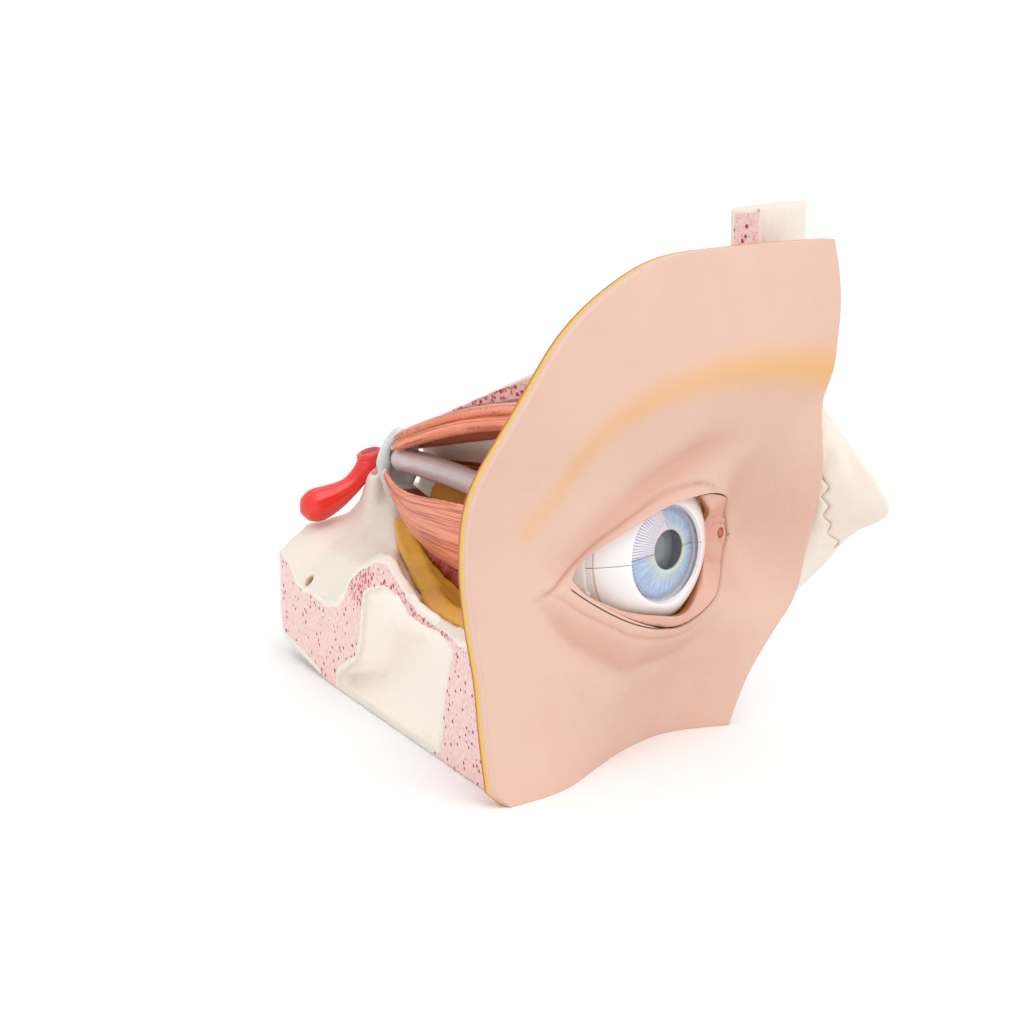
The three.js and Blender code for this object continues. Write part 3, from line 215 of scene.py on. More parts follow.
# The bone castings: upper jaw with its open sinus, medial wall, frontal stub and the two bones of the nose.
# They are cream resin with soft cast edges. Where a saw plane cuts them, a rim of dense bone surrounds pink
# spongy bone with crimson specks. Each casting is glued or pinned to the next.
SECTION_ORIGIN = Vector((-65, -3.2, 0)) * MM
SECTION_TURN = math.radians(28.6)
SECTION_ALONG = Vector((math.sin(SECTION_TURN), math.cos(SECTION_TURN), 0))
SECTION_INWARD = Vector((math.cos(SECTION_TURN), -math.sin(SECTION_TURN), 0))
ISLAND_SHARE = 0.02


def in_section(s, t, z):
    """Point in metres from millimetres along the lateral section, inward from it and up."""
    return SECTION_ORIGIN + (SECTION_ALONG * s + SECTION_INWARD * t) * MM + Vector((0, 0, z * MM))


def merged_copy(node):
    """The CAD node's own mesh in a bmesh, with its loose triangles merged."""
    form = bmesh.new()
    form.from_mesh(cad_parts[node].data)
    bmesh.ops.remove_doubles(form, verts=form.verts[:], dist=0.00002)
    return form


def applied(piece):
    """Makes the piece's modifiers part of its mesh."""
    graph = bpy.context.evaluated_depsgraph_get()
    mesh = bpy.data.meshes.new_from_object(piece.evaluated_get(graph))
    piece.modifiers.clear()
    piece.data = mesh
    return piece


def without_islands(piece):
    """Removes the small loose lumps that an even mesh leaves beside a thin end."""
    form = bmesh.new()
    form.from_mesh(piece.data)
    left = set(form.verts)
    islands = []
    while left:
        part = [left.pop()]
        for vert in part:
            for edge in vert.link_edges:
                other = edge.other_vert(vert)
                if other in left:
                    left.remove(other)
                    part.append(other)
        if len(part) < ISLAND_SHARE * len(form.verts):
            islands += part
    bmesh.ops.delete(form, geom=islands, context="VERTS")
    form.to_mesh(piece.data)
    form.free()
    return piece


def even_mesh(name, node, voxel, filler=None):
    """A new piece with the node's shape, and a filler's, in an even mesh, ready to be smoothed and carved."""
    form = merged_copy(node)
    if filler:
        form.from_mesh(filler.data)
        bpy.data.objects.remove(filler)
    piece = made_object(name, form)
    remesh = piece.modifiers.new("even", "REMESH")
    remesh.mode = "VOXEL"
    remesh.voxel_size = voxel * MM
    return without_islands(applied(piece))


def numbers(items, label, width, kind=np.float32):
    """What a mesh keeps for each of its items, one row per item."""
    rows = np.empty(len(items) * width, kind)
    items.foreach_get(label, rows)
    return rows.reshape(-1, width)


def points_of(mesh):
    return numbers(mesh.vertices, "co", 3).astype(float)


def normals_of(mesh):
    return numbers(mesh.vertices, "normal", 3).astype(float)


def edge_ends(mesh):
    return numbers(mesh.edges, "vertices", 2, np.int32).T


def move_points(mesh, points):
    mesh.vertices.foreach_set("co", points.astype(np.float32).ravel())
    mesh.update()


def mark(mesh, name, values):
    """Keeps one number per point, for the piece's finish to read."""
    layer = mesh.attributes.get(name) or mesh.attributes.new(name, "FLOAT", "POINT")
    layer.data.foreach_set("value", np.asarray(values, np.float32))


def marked(mesh, name):
    """Reads the numbers back."""
    return numbers(mesh.attributes[name].data, "value", 1)[:, 0]


def relax(mesh, rounds, hold=lambda points: points, back=0.42):
    """Moves points toward their neighbours, some of the way back out, and holds the flat places flat."""
    first, second = edge_ends(mesh)
    points = points_of(mesh)
    total = len(points)
    neighbours = np.maximum(np.bincount(np.concatenate([first, second]), minlength=total), 1)[:, None]
    for share in [0.5, -back] * rounds:
        around = np.stack([
            np.bincount(first, points[second, k], total) + np.bincount(second, points[first, k], total)
            for k in range(3)], axis=1)
        points = hold(points + share * (around / neighbours - points))
    move_points(mesh, points)


def rise(values, start, end):
    """From 0 to 1 as the values go from start to end, upward or downward."""
    return np.clip((values - start) / (end - start), 0, 1)


def ripple(points, size, seed):
    """Gentle random rise and fall over a surface, about -1 to 1, in waves of the given size in mm."""
    waves = np.random.default_rng(seed)
    total = 0
    for _ in range(7):
        direction = waves.normal(size=3)
        direction *= 2 * math.pi / (size * MM * np.linalg.norm(direction)) * waves.uniform(0.6, 1.4)
        total = total + np.sin(points @ direction + waves.uniform(0, 2 * math.pi))
    return total / 3


def raise_points(mesh, heights):
    """Moves points out along their normals by heights in mm."""
    move_points(mesh, points_of(mesh) + normals_of(mesh) * np.asarray(heights)[:, None] * MM)


def seat(piece, paint, body, slot, *nodes):
    """Finishes a piece, ties it to its body and lets it stand for its CAD nodes."""
    piece.data.shade_smooth()
    piece.data.materials.clear()
    piece.data.materials.append(paint.material)
    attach(piece, body)
    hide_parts(*nodes)


PLANE_REACH = 0.75
PLANE_FACING = 0.72
UNDERSIDE = 1.3
RIM_SEARCH = 8
DENSE_RIM = 2.4
THIN_RIM_SHARE = 0.27
FORAMEN_MOUTH = in_section(163, -4, 37)
FORAMEN_END = in_section(163, 9, 28)
FORAMEN_RADIUS = 2.2
PEAK = in_section(108, 0, 48)


def from_foramen(points):
    """Distance in mm from the middle line of the small hole in the jaw's rear."""
    way = (FORAMEN_END - FORAMEN_MOUTH).normalized()
    offset = points - FORAMEN_MOUTH
    ahead = np.clip(offset @ way, 0, (FORAMEN_END - FORAMEN_MOUTH).length)
    return np.linalg.norm(offset - ahead[:, None] * way, axis=1) / MM


def section_depths(mesh, points, flat, pink, voxel):
    """For each point of a section, its distance from the section's edge, and the most that its part has."""
    outside = np.nonzero(~flat & (points[:, 2] > UNDERSIDE * MM))[0]
    tree = kdtree.KDTree(len(outside))
    for index in outside:
        tree.insert(points[index], int(index))
    tree.balance()
    depth = np.zeros(len(points))
    for index in np.nonzero(pink)[0]:
        depth[index] = tree.find(points[index])[2] / MM
    first, second = edge_ends(mesh)
    widest = depth.copy()
    for _ in range(round(RIM_SEARCH / voxel)):
        most = np.maximum(widest[first], widest[second])
        np.maximum.at(widest, first, most)
        np.maximum.at(widest, second, most)
    return depth, widest


def casting(name, node, planes, voxel=1.2, rounds=14, unevenness=0.16, filler=None, grow=0.0):
    """Bone casting: soft all over but flat on its planes, with the depth inside each section's rim marked."""
    piece = even_mesh(name, node, voxel, filler)
    mesh = piece.data
    start = points_of(mesh)
    normals = normals_of(mesh)
    flat = np.zeros(len(start), bool)
    pink = np.zeros(len(start), bool)
    held = []
    for point, normal, spongy, reach in planes:
        normal = normal.normalized()
        away = (start - point) @ normal
        on_plane = (np.abs(away) < PLANE_REACH * voxel * MM) & (normals @ normal > PLANE_FACING) & ~flat
        on_plane &= np.linalg.norm(start - point, axis=1) < reach
        held.append((on_plane, point, normal))
        flat |= on_plane
        if spongy:
            pink |= on_plane
    hole = from_foramen(start) < FORAMEN_RADIUS + 1.2

    def hold(points):
        for on_plane, point, normal in held:
            away = (points[on_plane] - point) @ normal
            points[on_plane] -= away[:, None] * normal
        points[hole] = 0.4 * points[hole] + 0.6 * start[hole]
        return points

    relax(mesh, rounds, hold, back=0.3)
    points = points_of(mesh)
    depth, widest = section_depths(mesh, points, flat, pink, voxel)
    mark(mesh, "depth", depth / np.maximum(np.minimum(DENSE_RIM, THIN_RIM_SHARE * widest), 0.3))
    near_peak = 1 - np.linalg.norm(points - PEAK, axis=1) / (15 * MM)
    mark(mesh, "dense", np.clip(np.maximum((5.5 - widest) / 2.5, near_peak * 3), 0, 1) * pink)
    # The small hole's bore is marked for a brown that stands in for the shade inside it: painted shade.
    mark(mesh, "hole", rise(from_foramen(points), FORAMEN_RADIUS + 0.5, FORAMEN_RADIUS - 0.3))
    swell = unevenness * ripple(points, 9, 3) + 0.4 * unevenness * ripple(points, 3.4, 5) + grow
    raise_points(mesh, np.where(flat | hole, 0, swell))
    return piece


bone_paint = Paint("cast_bone", Roughness=0.42, Specular_IOR_Level=0.4)
bone_depth = bone_paint.attribute("depth")
bone_dense = bone_paint.attribute("dense")
bone_cloud = bone_paint.noise(0.018, 3)
bone_grain = bone_paint.noise(0.0016, 3)
# The sinus mark lays a paler cream, painted light in the sinus's hollow, and the hole mark a brown, painted
# shade in the small hole.
cream = bone_paint.coats(
    "e6dbcd", (bone_cloud, "ede4d9"), (bone_grain.step(0.55, 0.8) * 0.25, "e3d3bf"),
    (bone_paint.attribute("hole") * 0.85, "b98d55"), (bone_paint.attribute("sinus"), "fdf5ec"))
spongy = (bone_depth + (bone_paint.noise(0.004) - 0.5) * 0.45).step(0.95, 1.2)
mesh_work = bone_paint.noise(0.0009, 3, 0.65, at=bone_paint.stretched((1, 1, 0.6)))
speck_size = bone_paint.noise(0.011) * 0.3 + bone_paint.noise(0.0007) * 0.2
large_specks = (speck_size + bone_dense * 0.04 - bone_paint.cells(0.0031)).step(0.03, 0.08)
small_specks = (speck_size + bone_dense * 0.27 - bone_paint.cells(0.0014)).step(0.06, 0.16)
specks = bone_paint.math("MAXIMUM", large_specks, small_specks * (0.45 + bone_dense * 0.35))
pink_tone = bone_paint.coats("f7ded8", (mesh_work.step(0.35, 0.68), "f1c2be"),
                             (bone_dense * 0.45, "eeadb1"), (specks, "c5405c"))
bone_tone = bone_paint.coats(cream, (bone_depth.step(0.15, 0.6), "f2eade"), (spongy, pink_tone))
bone_paint.finish(bone_tone, 0.4 + spongy * 0.25 + bone_cloud * 0.08,
                  bone_grain * 0.2 - spongy * (specks * 0.9 + mesh_work * 0.4), 0.0005)

DOWN = Vector((0, 0, -1))
UP = Vector((0, 0, 1))
TO_NOSE = Vector((1, 0, 0))
WALL_BASE = 0.060
FRONTAL_BASE = 0.128
ROOF_X = 0.049
MIDLINE_X = 0.077
MEDIAL_X = 0.065
FRONTAL_TOP = 0.177
ANYWHERE = 1
SINUS_FLOOR = 2.5
SINUS_TOP = 50
COVE_START = 40
COVE_END = 132
COVE_REACH = 17
COVE_HEIGHT = 27
PEG_END = in_section(176, 34.6, 69)
PEG_WAY = PEG_END - in_section(177, 34, 62)
PEG_GROWTH = 2.6
PEG_SLOPE = 0.75
PEG_REACH = 8.5


def sinus_cove():
    """Filler that rounds the back of the sinus down to the front edge of its floor."""
    form = bmesh.new()
    bend = [(1 + COVE_REACH * math.sin(a), SINUS_FLOOR - 0.4 + COVE_HEIGHT * (1 - math.cos(a)))
            for a in np.linspace(0, math.pi / 2, 13)]
    outline = [*bend, (44, bend[-1][1]), (44, 0.5), (1, 0.5)]
    form.faces.new([form.verts.new(in_section(COVE_START, t, z)) for t, z in outline])
    grown = bmesh.ops.extrude_face_region(form, geom=form.faces[:])
    far = [item for item in grown["geom"] if isinstance(item, bmesh.types.BMVert)]
    bmesh.ops.translate(form, verts=far, vec=SECTION_ALONG * (COVE_END - COVE_START) * MM)
    bmesh.ops.recalc_face_normals(form, faces=form.faces[:])
    return made_object("sinus_cove", form)


jaw = casting("upper_jaw_casting", "maxilla", [
    (SECTION_ORIGIN, -SECTION_INWARD, True, ANYWHERE),
    (Vector((0, 0, 0)), DOWN, False, ANYWHERE),
    (UP * WALL_BASE, UP, False, ANYWHERE),
    (TO_NOSE * MEDIAL_X, TO_NOSE, True, ANYWHERE),
    (PEG_END, PEG_WAY, True, 6 * MM),
], voxel=1.0, filler=sinus_cove())

# Painted light: the sinus's walls, most where they face out and down, are painted a paler cream that lifts
# the shade in its hollow, and no spongy bone shows along the front edge of its floor.
jaw_points = points_of(jaw.data)
jaw_offset = jaw_points - SECTION_ORIGIN
jaw_along = jaw_offset @ SECTION_ALONG / MM
jaw_inward = jaw_offset @ SECTION_INWARD / MM
floor_edge = (jaw_points[:, 2] < 3.6 * MM) & (jaw_along > COVE_START + 3) & (jaw_along < COVE_END - 3)
mark(jaw.data, "depth", marked(jaw.data, "depth") * ~floor_edge)
in_sinus = (jaw_along > COVE_START + 1) & (jaw_along < COVE_END - 1)
in_sinus &= (jaw_points[:, 2] > 0.5 * MM) & (jaw_points[:, 2] < SINUS_TOP * MM)
facing_out = np.clip(normals_of(jaw.data) @ -(SECTION_INWARD + DOWN * 0.4) + 0.9, 0, 1)
mark(jaw.data, "sinus", rise(jaw_inward, 0.5, 2) * in_sinus * facing_out)

# The peg is broad at its rear, and its cut end slopes outward, so that its pink middle shows from the side.
peg_offset = jaw_points - PEG_END
peg_aside = np.hypot(peg_offset @ SECTION_INWARD, peg_offset @ SECTION_ALONG) / MM
peg_rise = rise(peg_offset[:, 2] / MM, -26, -14) * rise(peg_aside, 13, 8)
peg_rear = np.clip(normals_of(jaw.data) @ (SECTION_ALONG - SECTION_INWARD * 0.3) + 0.3, 0, 1)
peg_taper = np.clip(1.25 - (peg_offset[:, 2] / MM + 16) / 20, 0.4, 1)
jaw_points += (PEG_GROWTH * MM * peg_rise * peg_rear * peg_taper)[:, None] * SECTION_ALONG
peg_offset = jaw_points - PEG_END
peg_inward = peg_offset @ SECTION_INWARD
on_peg = np.hypot(peg_inward, peg_offset @ SECTION_ALONG) < PEG_REACH * MM
peg_share = rise(peg_offset[:, 2] / MM, -7, -1) * on_peg
jaw_points[:, 2] += PEG_SLOPE * peg_inward * peg_share
move_points(jaw.data, jaw_points)
seat(jaw, bone_paint, "orbit_base", "bone", "maxilla")
wall = casting("medial_wall_casting", "medial_wall", [
    (TO_NOSE * ROOF_X, -TO_NOSE, True, ANYWHERE),
    (TO_NOSE * MEDIAL_X, TO_NOSE, True, ANYWHERE),
    (UP * WALL_BASE, DOWN, False, ANYWHERE),
    (UP * FRONTAL_BASE, UP, False, ANYWHERE),
], voxel=0.75)
seat(wall, bone_paint, "orbit_base", "bone", "medial_wall")
stub = casting("frontal_bone_casting", "frontal_bone", [
    (TO_NOSE * ROOF_X, -TO_NOSE, True, ANYWHERE),
    (TO_NOSE * MIDLINE_X, TO_NOSE, True, ANYWHERE),
    (UP * FRONTAL_TOP, UP, False, ANYWHERE),
    (UP * FRONTAL_BASE, DOWN, False, ANYWHERE),
], voxel=0.8, rounds=10)
seat(stub, bone_paint, "orbit_base", "bone", "frontal_bone")
for name, node in [("frontal_process_casting", "frontal_process"), ("nasal_bone_casting", "nasal_bone")]:
    nose_part = casting(name, node, [
        (TO_NOSE * MIDLINE_X, TO_NOSE, True, ANYWHERE),
        (UP * FRONTAL_BASE, UP, False, ANYWHERE),
    ], voxel=0.6, rounds=16, unevenness=0.06, grow=0.19)
    seat(nose_part, bone_paint, "orbit_base", "bone", node)

# The orbital fat: a soft yellow bed, cast in flexible resin with a lumpy, mottled surface, glued to the floor
# of the orbit. The eyeball and the lower muscles lie in hollows in it.
fat_paint = Paint("orbital_fat", Roughness=0.5, Specular_IOR_Level=0.5)
fat_cloud = fat_paint.noise(0.009, 3)
fat_lobes = fat_paint.cells(0.0032)
fat_tone = fat_paint.coats(
    "e0a22e", (fat_cloud, "efb845"), (fat_lobes.step(0.35, 0.75) * 0.2, "cd9124"))
fat_paint.finish(fat_tone, 0.36 + fat_cloud * 0.25, fat_paint.noise(0.002) * 0.5 - fat_lobes * 0.2, 0.0002)
fat = even_mesh("fat_bed", "orbital_fat", 0.9)
relax(fat.data, 26, back=0.46)
raise_points(fat.data, 0.08 * ripple(points_of(fat.data), 14, 11) - 0.08)
seat(fat, fat_paint, "orbit_base", "fat", "orbital_fat")

# The tendon ring: a translucent grey-white ring of fibrous tissue round the nerve at the apex of the orbit.
# It is cast, a little swollen where each muscle takes root, and glued to the bone.
EYE_CENTRE = Vector((0, 0, 70)) * MM
ORBIT_AXIS = (in_section(166, 40, 73.5) - EYE_CENTRE).normalized()
RING_MIDDLE = EYE_CENTRE + ORBIT_AXIS * 134 * MM
RING_HALF_WIDTH = 6.4
RING_HALF_HEIGHT = 10.6
ring_paint = Paint("tendon_ring", Roughness=0.3, Subsurface_Weight=0.25, Subsurface_Scale=0.004,
                   Coat_Weight=0.3)
ring_fibre = ring_paint.noise(0.0012, 3, at=ring_paint.stretched((1, 0.35, 1)))
ring_paint.feed("Base Color", ring_paint.coats(
    "c2c7c9", (ring_paint.noise(0.005), "e3e6e6"), (ring_fibre.step(0.5, 0.8) * 0.4, "aeb5b8")))
ring_paint.bump(ring_fibre, 0.0003)


def ring_web():
    """Thin web across the ring's opening, from which the nerve comes out."""
    form = bmesh.new()
    turn = ORBIT_AXIS.to_track_quat("Z", "Y").to_matrix().to_4x4()
    bmesh.ops.create_cone(form, cap_ends=True, segments=40, radius1=1, radius2=0.8, depth=2.4 * MM)
    bmesh.ops.scale(form, verts=form.verts[:], vec=(RING_HALF_WIDTH * MM, RING_HALF_HEIGHT * MM, 1))
    place = Matrix.Translation(RING_MIDDLE + ORBIT_AXIS * 1.2 * MM)
    bmesh.ops.transform(form, matrix=place @ turn, verts=form.verts[:])
    return made_object("ring_web", form)


ring = even_mesh("tendon_ring_casting", "tendon_ring", 0.5, ring_web())
relax(ring.data, 14)
seat(ring, ring_paint, "orbit_base", "tendon", "tendon_ring")

# The optic nerve: a smooth grey-lilac cord from the back of the eyeball to the ring, with a soft shine.
# It is cast in one piece with its sheath and glued into the ring.
nerve_paint = Paint("optic_nerve", Roughness=0.3, Coat_Weight=0.25, Coat_Roughness=0.2)
nerve_grain = nerve_paint.noise(0.0015, at=nerve_paint.stretched((1, 0.2, 1)))
nerve_tone = nerve_paint.coats("d2c4c4", (nerve_paint.noise(0.012, 3), "e6dbda"),
                               (nerve_grain.step(0.5, 0.8) * 0.2, "b5a8a9"))
nerve_paint.finish(nerve_tone, 0.24 + nerve_grain * 0.2, nerve_grain, 0.0002)
nerve = even_mesh("optic_nerve_cord", "optic_nerve", 0.6)
relax(nerve.data, 10)
seat(nerve, nerve_paint, "orbit_base", "nerve", "optic_nerve")

# The eye muscles: orange-red straps with fine grooves between their fibres, pale where they become tendon at
# the eyeball and at the ring. They are cast in flexible resin, and glued to the sclera and to the ring.
CONE_UP = (UP - ORBIT_AXIS * UP.dot(ORBIT_AXIS)).normalized()
CONE_NASAL = ORBIT_AXIS.cross(CONE_UP).normalized()
GLOBE_RADIUS = 36 * MM
STRAP_SLICES = 40


def muscle_paint(name, light, dark, groove, tendon, lines):
    """Light and dark streaks with thin grooves, which run along the strap and fade into its tendon."""
    paint = Paint(name, Specular_IOR_Level=0.45, Coat_Weight=0.12, Coat_Roughness=0.3)
    along = paint.attribute("along")
    deep = paint.attribute("deep")
    across = (paint.attribute("across") + (paint.noise(0.02) - 0.5) * 0.04) * lines
    fibres = paint.noise(1.0, at=paint.point(across, along * 0.02, deep))
    line_place = paint.point(across * 1.15, along * 0.012, deep + 4.0)
    thin_lines = paint.noise(0.7, 1, 0.4, at=line_place).step(0.52, 0.64)
    tone = paint.coats(dark, (fibres.step(0.3, 0.7), light), (paint.noise(0.011, 3) * 0.3, light),
                       (thin_lines * 0.7, groove))
    pale = (paint.attribute("tendon") + (fibres - 0.5) * 0.3).step(0.3, 0.7)
    paint.finish(paint.mix(pale, tone, tendon), 0.42 + fibres * 0.16,
                 (fibres * 0.5 - thin_lines * 0.6) * (1 - pale * 0.9), 0.0004)
    return paint


def around_cone(points):
    """Where a muscle of the cone lies along the orbit's axis and round it, from its own middle."""
    offset = points - EYE_CENTRE
    along = offset @ ORBIT_AXIS
    up_part = offset @ CONE_UP
    nasal_part = offset @ CONE_NASAL
    middle = np.median(points, axis=0) - EYE_CENTRE
    turn = math.atan2(middle @ CONE_UP, middle @ CONE_NASAL)
    side = np.arctan2(up_part, nasal_part) - turn
    return along / MM, (side + math.pi) % (2 * math.pi) - math.pi


def along_strap(start, end):
    """The same for a strap between two points, flat side away from the eyeball."""
    def measure(points):
        direction = (end - start).normalized()
        side = direction.cross((start + end) / 2 - EYE_CENTRE).normalized()
        offset = points - start
        return offset @ direction / MM, offset @ side / MM
    return measure


def muscle(name, node, paint, body, measure, front=4, root=4, voxel=0.6, bundles=9, depth=0.22, grow=0.0):
    """Strap of fibre bundles: each point's place across and along the strap is kept for its finish."""
    piece = even_mesh(name, node, voxel)
    mesh = piece.data
    relax(mesh, 8)
    along, side = measure(points_of(mesh))
    steps = np.linspace(along.min(), along.max(), STRAP_SLICES)
    which = np.clip(np.searchsorted(steps, along), 1, STRAP_SLICES - 1)
    slices = [which == max(i, 1) for i in range(STRAP_SLICES)]
    edges = [[side[part].min(initial=9) for part in slices], [side[part].max(initial=-9) for part in slices]]
    low, high = (np.interp(along, steps, np.convolve(np.pad(edge, 1, mode="edge"), np.ones(3) / 3, "valid"))
                 for edge in edges)
    across = np.clip((side - low) / np.maximum(high - low, 1e-6), 0, 1)
    from_front = along - along.min()
    from_root = along.max() - along
    tendon = np.clip(np.maximum(1.5 - from_front / max(front, 0.1), 1.5 - from_root / root), 0, 1)
    deep = np.linalg.norm(np.cross(points_of(mesh) - EYE_CENTRE, ORBIT_AXIS), axis=1) / MM
    mark(mesh, "across", across)
    mark(mesh, "along", from_front)
    mark(mesh, "deep", deep - np.interp(along, steps, [deep[part].mean() for part in slices]))
    mark(mesh, "tendon", tendon)
    wander = 0.03 * ripple(points_of(mesh), 30, 21)
    ridges = np.abs(np.sin(math.pi * (bundles * (across + wander) + deep / 2.4))) ** 0.7 - 0.75
    ends = rise(np.minimum(from_front, from_root), 0, 6)
    raise_points(mesh, depth * ridges * (0.3 + 0.7 * ends) * (1 - tendon) + grow * ends)
    seat(piece, paint, body, "muscle", node)
    return piece


orange_muscle = muscle_paint("orange_muscle", "f59d79", "e67a5b", "ac4a34", "f2ede8", 34)
deep_muscle = muscle_paint("deep_muscle", "bb4a3a", "952f26", "5e1c18", "d9cfc8", 20)
lid_muscle = muscle_paint("lid_muscle", "f3a283", "e58262", "b0533d", "e8ddd5", 26)
muscle("lateral_rectus_strap", "lateral_rectus", orange_muscle, "orbit_base", around_cone,
       front=12, root=2.5, bundles=16, depth=0.14)
muscle("medial_rectus_strap", "medial_rectus", deep_muscle, "orbit_base", around_cone)
lower_strap = muscle("inferior_rectus_strap", "inferior_rectus", deep_muscle, "orbit_base", around_cone)
muscle("superior_rectus_strap", "superior_rectus", orange_muscle, "globe_top", around_cone,
       root=1.5, bundles=12, depth=0.14, grow=1.0)
muscle("levator_strap", "levator", lid_muscle, "globe_top", around_cone, root=1.5, bundles=8,
       depth=0.12, grow=1.0)
muscle("superior_oblique_strap", "superior_oblique", orange_muscle, "orbit_base",
       along_strap(Vector((43, -1, 103)) * MM, in_section(164, 46, 81)), voxel=0.5, bundles=5, depth=0.16)
muscle("inferior_oblique_strap", "inferior_oblique", deep_muscle, "orbit_base",
       along_strap(Vector((-34, 12, 49)) * MM, Vector((40, -14, 42)) * MM), voxel=0.5, bundles=5, depth=0.16)

# The lower muscle's belly swells outward and down until it fills its hollow in the fat.
BELLY_SWELL = 8.5
BELLY_WAY = -(SECTION_INWARD * 0.5 + UP * 0.85)
belly_points = points_of(lower_strap.data)
belly_along = (belly_points - EYE_CENTRE) @ ORBIT_AXIS / MM
belly_share = rise(belly_along, 30, 54) * rise(belly_along, 124, 90)
belly_facing = np.clip(normals_of(lower_strap.data) @ BELLY_WAY, 0, 1)
raise_points(lower_strap.data, BELLY_SWELL * belly_share * belly_facing)
relax(lower_strap.data, 14, back=0.3)

# The superior oblique's tendon and the cartilage pulley that it turns through: white, fibrous and glossy.
# The tendon is glued to the upper half of the eyeball, and the pulley to the medial wall.
tendon_paint = Paint("white_tendon", Roughness=0.3, Coat_Weight=0.3)
tendon_fibre = tendon_paint.noise(0.001, 3, at=tendon_paint.stretched((0.3, 1, 1)))
tendon_paint.finish(tendon_paint.mix(tendon_fibre, "d8d2ca", "f2efea"), 0.25 + tendon_fibre * 0.2,
                    tendon_fibre, 0.0003)
for name, node, body, rounds in [("superior_oblique_tendon", "oblique_tendon", "globe_top", 5),
                                 ("oblique_pulley_ring", "oblique_pulley", "orbit_base", 12)]:
    fibrous = even_mesh(name, node, 0.35)
    relax(fibrous.data, rounds)
    seat(fibrous, tendon_paint, body, "tendon", node)

# The carotid artery: a bright red, glossy vessel with a rounded end, which bends up beside the bone peg.
# Its cut top shows the darker bore. It is cast solid and glued to the bone.
ARTERY_TOP = in_section(183, 34.8, 75.2)
ARTERY_TOP_WAY = (UP - SECTION_INWARD * 0.08).normalized()
ARTERY_BORE = 4.0
ARTERY_BORE_DEPTH = 1.1
ARTERY_NECK = 58
ARTERY_GROWTH = 0.45
ARTERY_SLOPE = 0.5
artery_paint = Paint("carotid_artery", Roughness=0.24, Coat_Weight=0.35, Coat_Roughness=0.12)
artery_cloud = artery_paint.noise(0.01, 3)
dark_bore = artery_paint.attribute("bore").step(0.35, 0.6)
artery_paint.finish(artery_paint.coats("d81a14", (artery_cloud, "f43a2e"), (dark_bore, "9c3e46")),
                    0.2 + artery_cloud * 0.12, artery_paint.noise(0.0025), 0.0002)
artery = even_mesh("carotid_artery_vessel", "carotid_artery", 0.5)
relax(artery.data, 8, back=0.4)
artery_points = points_of(artery.data)
raise_points(artery.data, ARTERY_GROWTH * rise(artery_points[:, 2] / MM, ARTERY_NECK, ARTERY_NECK + 6))
artery_points = points_of(artery.data)
artery_rise = rise(artery_points[:, 2], ARTERY_TOP.z - 3 * MM, ARTERY_TOP.z)
artery_inward = (artery_points - ARTERY_TOP) @ SECTION_INWARD
artery_points[:, 2] += ARTERY_SLOPE * artery_inward * artery_rise
artery_offset = artery_points - ARTERY_TOP
artery_height = artery_offset @ ARTERY_TOP_WAY
artery_reach = np.linalg.norm(artery_offset - artery_height[:, None] * ARTERY_TOP_WAY, axis=1) / MM
in_bore = (artery_reach < ARTERY_BORE) & (artery_height > -1.6 * MM)
bore_share = np.where(in_bore, rise(artery_reach, ARTERY_BORE, ARTERY_BORE - 0.9), 0)
mark(artery.data, "bore", bore_share)
artery_points -= (bore_share * ARTERY_BORE_DEPTH * MM)[:, None] * ARTERY_TOP_WAY
move_points(artery.data, artery_points)
seat(artery, artery_paint, "orbit_base", "artery", "carotid_artery")

# The sclera: two white shell halves, turned and polished, that meet at a level seam through the pupil. Two
# small pins in the seam line them up. The lower half is bedded in the fat, and the upper half lifts off. The
# eyeball is glued in rolled a little, so the seam falls toward the temple.
GAZE_TURN = math.radians(9.6)
GAZE = Vector((-math.sin(GAZE_TURN), -math.cos(GAZE_TURN), 0))
GAZE_NASAL = Vector((math.cos(GAZE_TURN), -math.sin(GAZE_TURN), 0))
SEAM_ROLL = math.radians(4)
SEAM_UP = (UP * math.cos(SEAM_ROLL) - GAZE_NASAL * math.sin(SEAM_ROLL)).normalized()
SEAM_SIDE = (GAZE_NASAL * math.cos(SEAM_ROLL) + UP * math.sin(SEAM_ROLL)).normalized()
SPIN_STEPS = 96
SCLERA_WALL = 3 * MM
LIMBUS_RADIUS = 16.5 * MM
SEAM_GAP = 0.3 * MM
FIT_GAP = 0.4 * MM
PIN_RADIUS = 0.8 * MM
PIN_LENGTH = 8 * MM


def arc(radius, start, end, steps):
    """Points (reach from the gaze, depth ahead of the eyeball's centre) on a circle about that centre."""
    return [(abs(radius * math.sin(a)), radius * math.cos(a)) for a in np.linspace(start, end, steps + 1)]


def turned(profile, closed=True):
    """Solid of revolution about the gaze from its half profile."""
    form = bmesh.new()
    corners = [form.verts.new(EYE_CENTRE + GAZE * ahead + GAZE_NASAL * reach) for reach, ahead in profile]
    edges = [form.edges.new(pair) for pair in zip(corners, corners[1:])]
    if closed:
        edges.append(form.edges.new((corners[-1], corners[0])))
    bmesh.ops.spin(form, geom=corners + edges, cent=EYE_CENTRE, axis=GAZE, angle=2 * math.pi,
                   steps=SPIN_STEPS, use_merge=True)
    bmesh.ops.remove_doubles(form, verts=form.verts[:], dist=0.00001)
    bmesh.ops.dissolve_degenerate(form, edges=form.edges[:], dist=0.00001)
    bmesh.ops.recalc_face_normals(form, faces=form.faces[:])
    return form


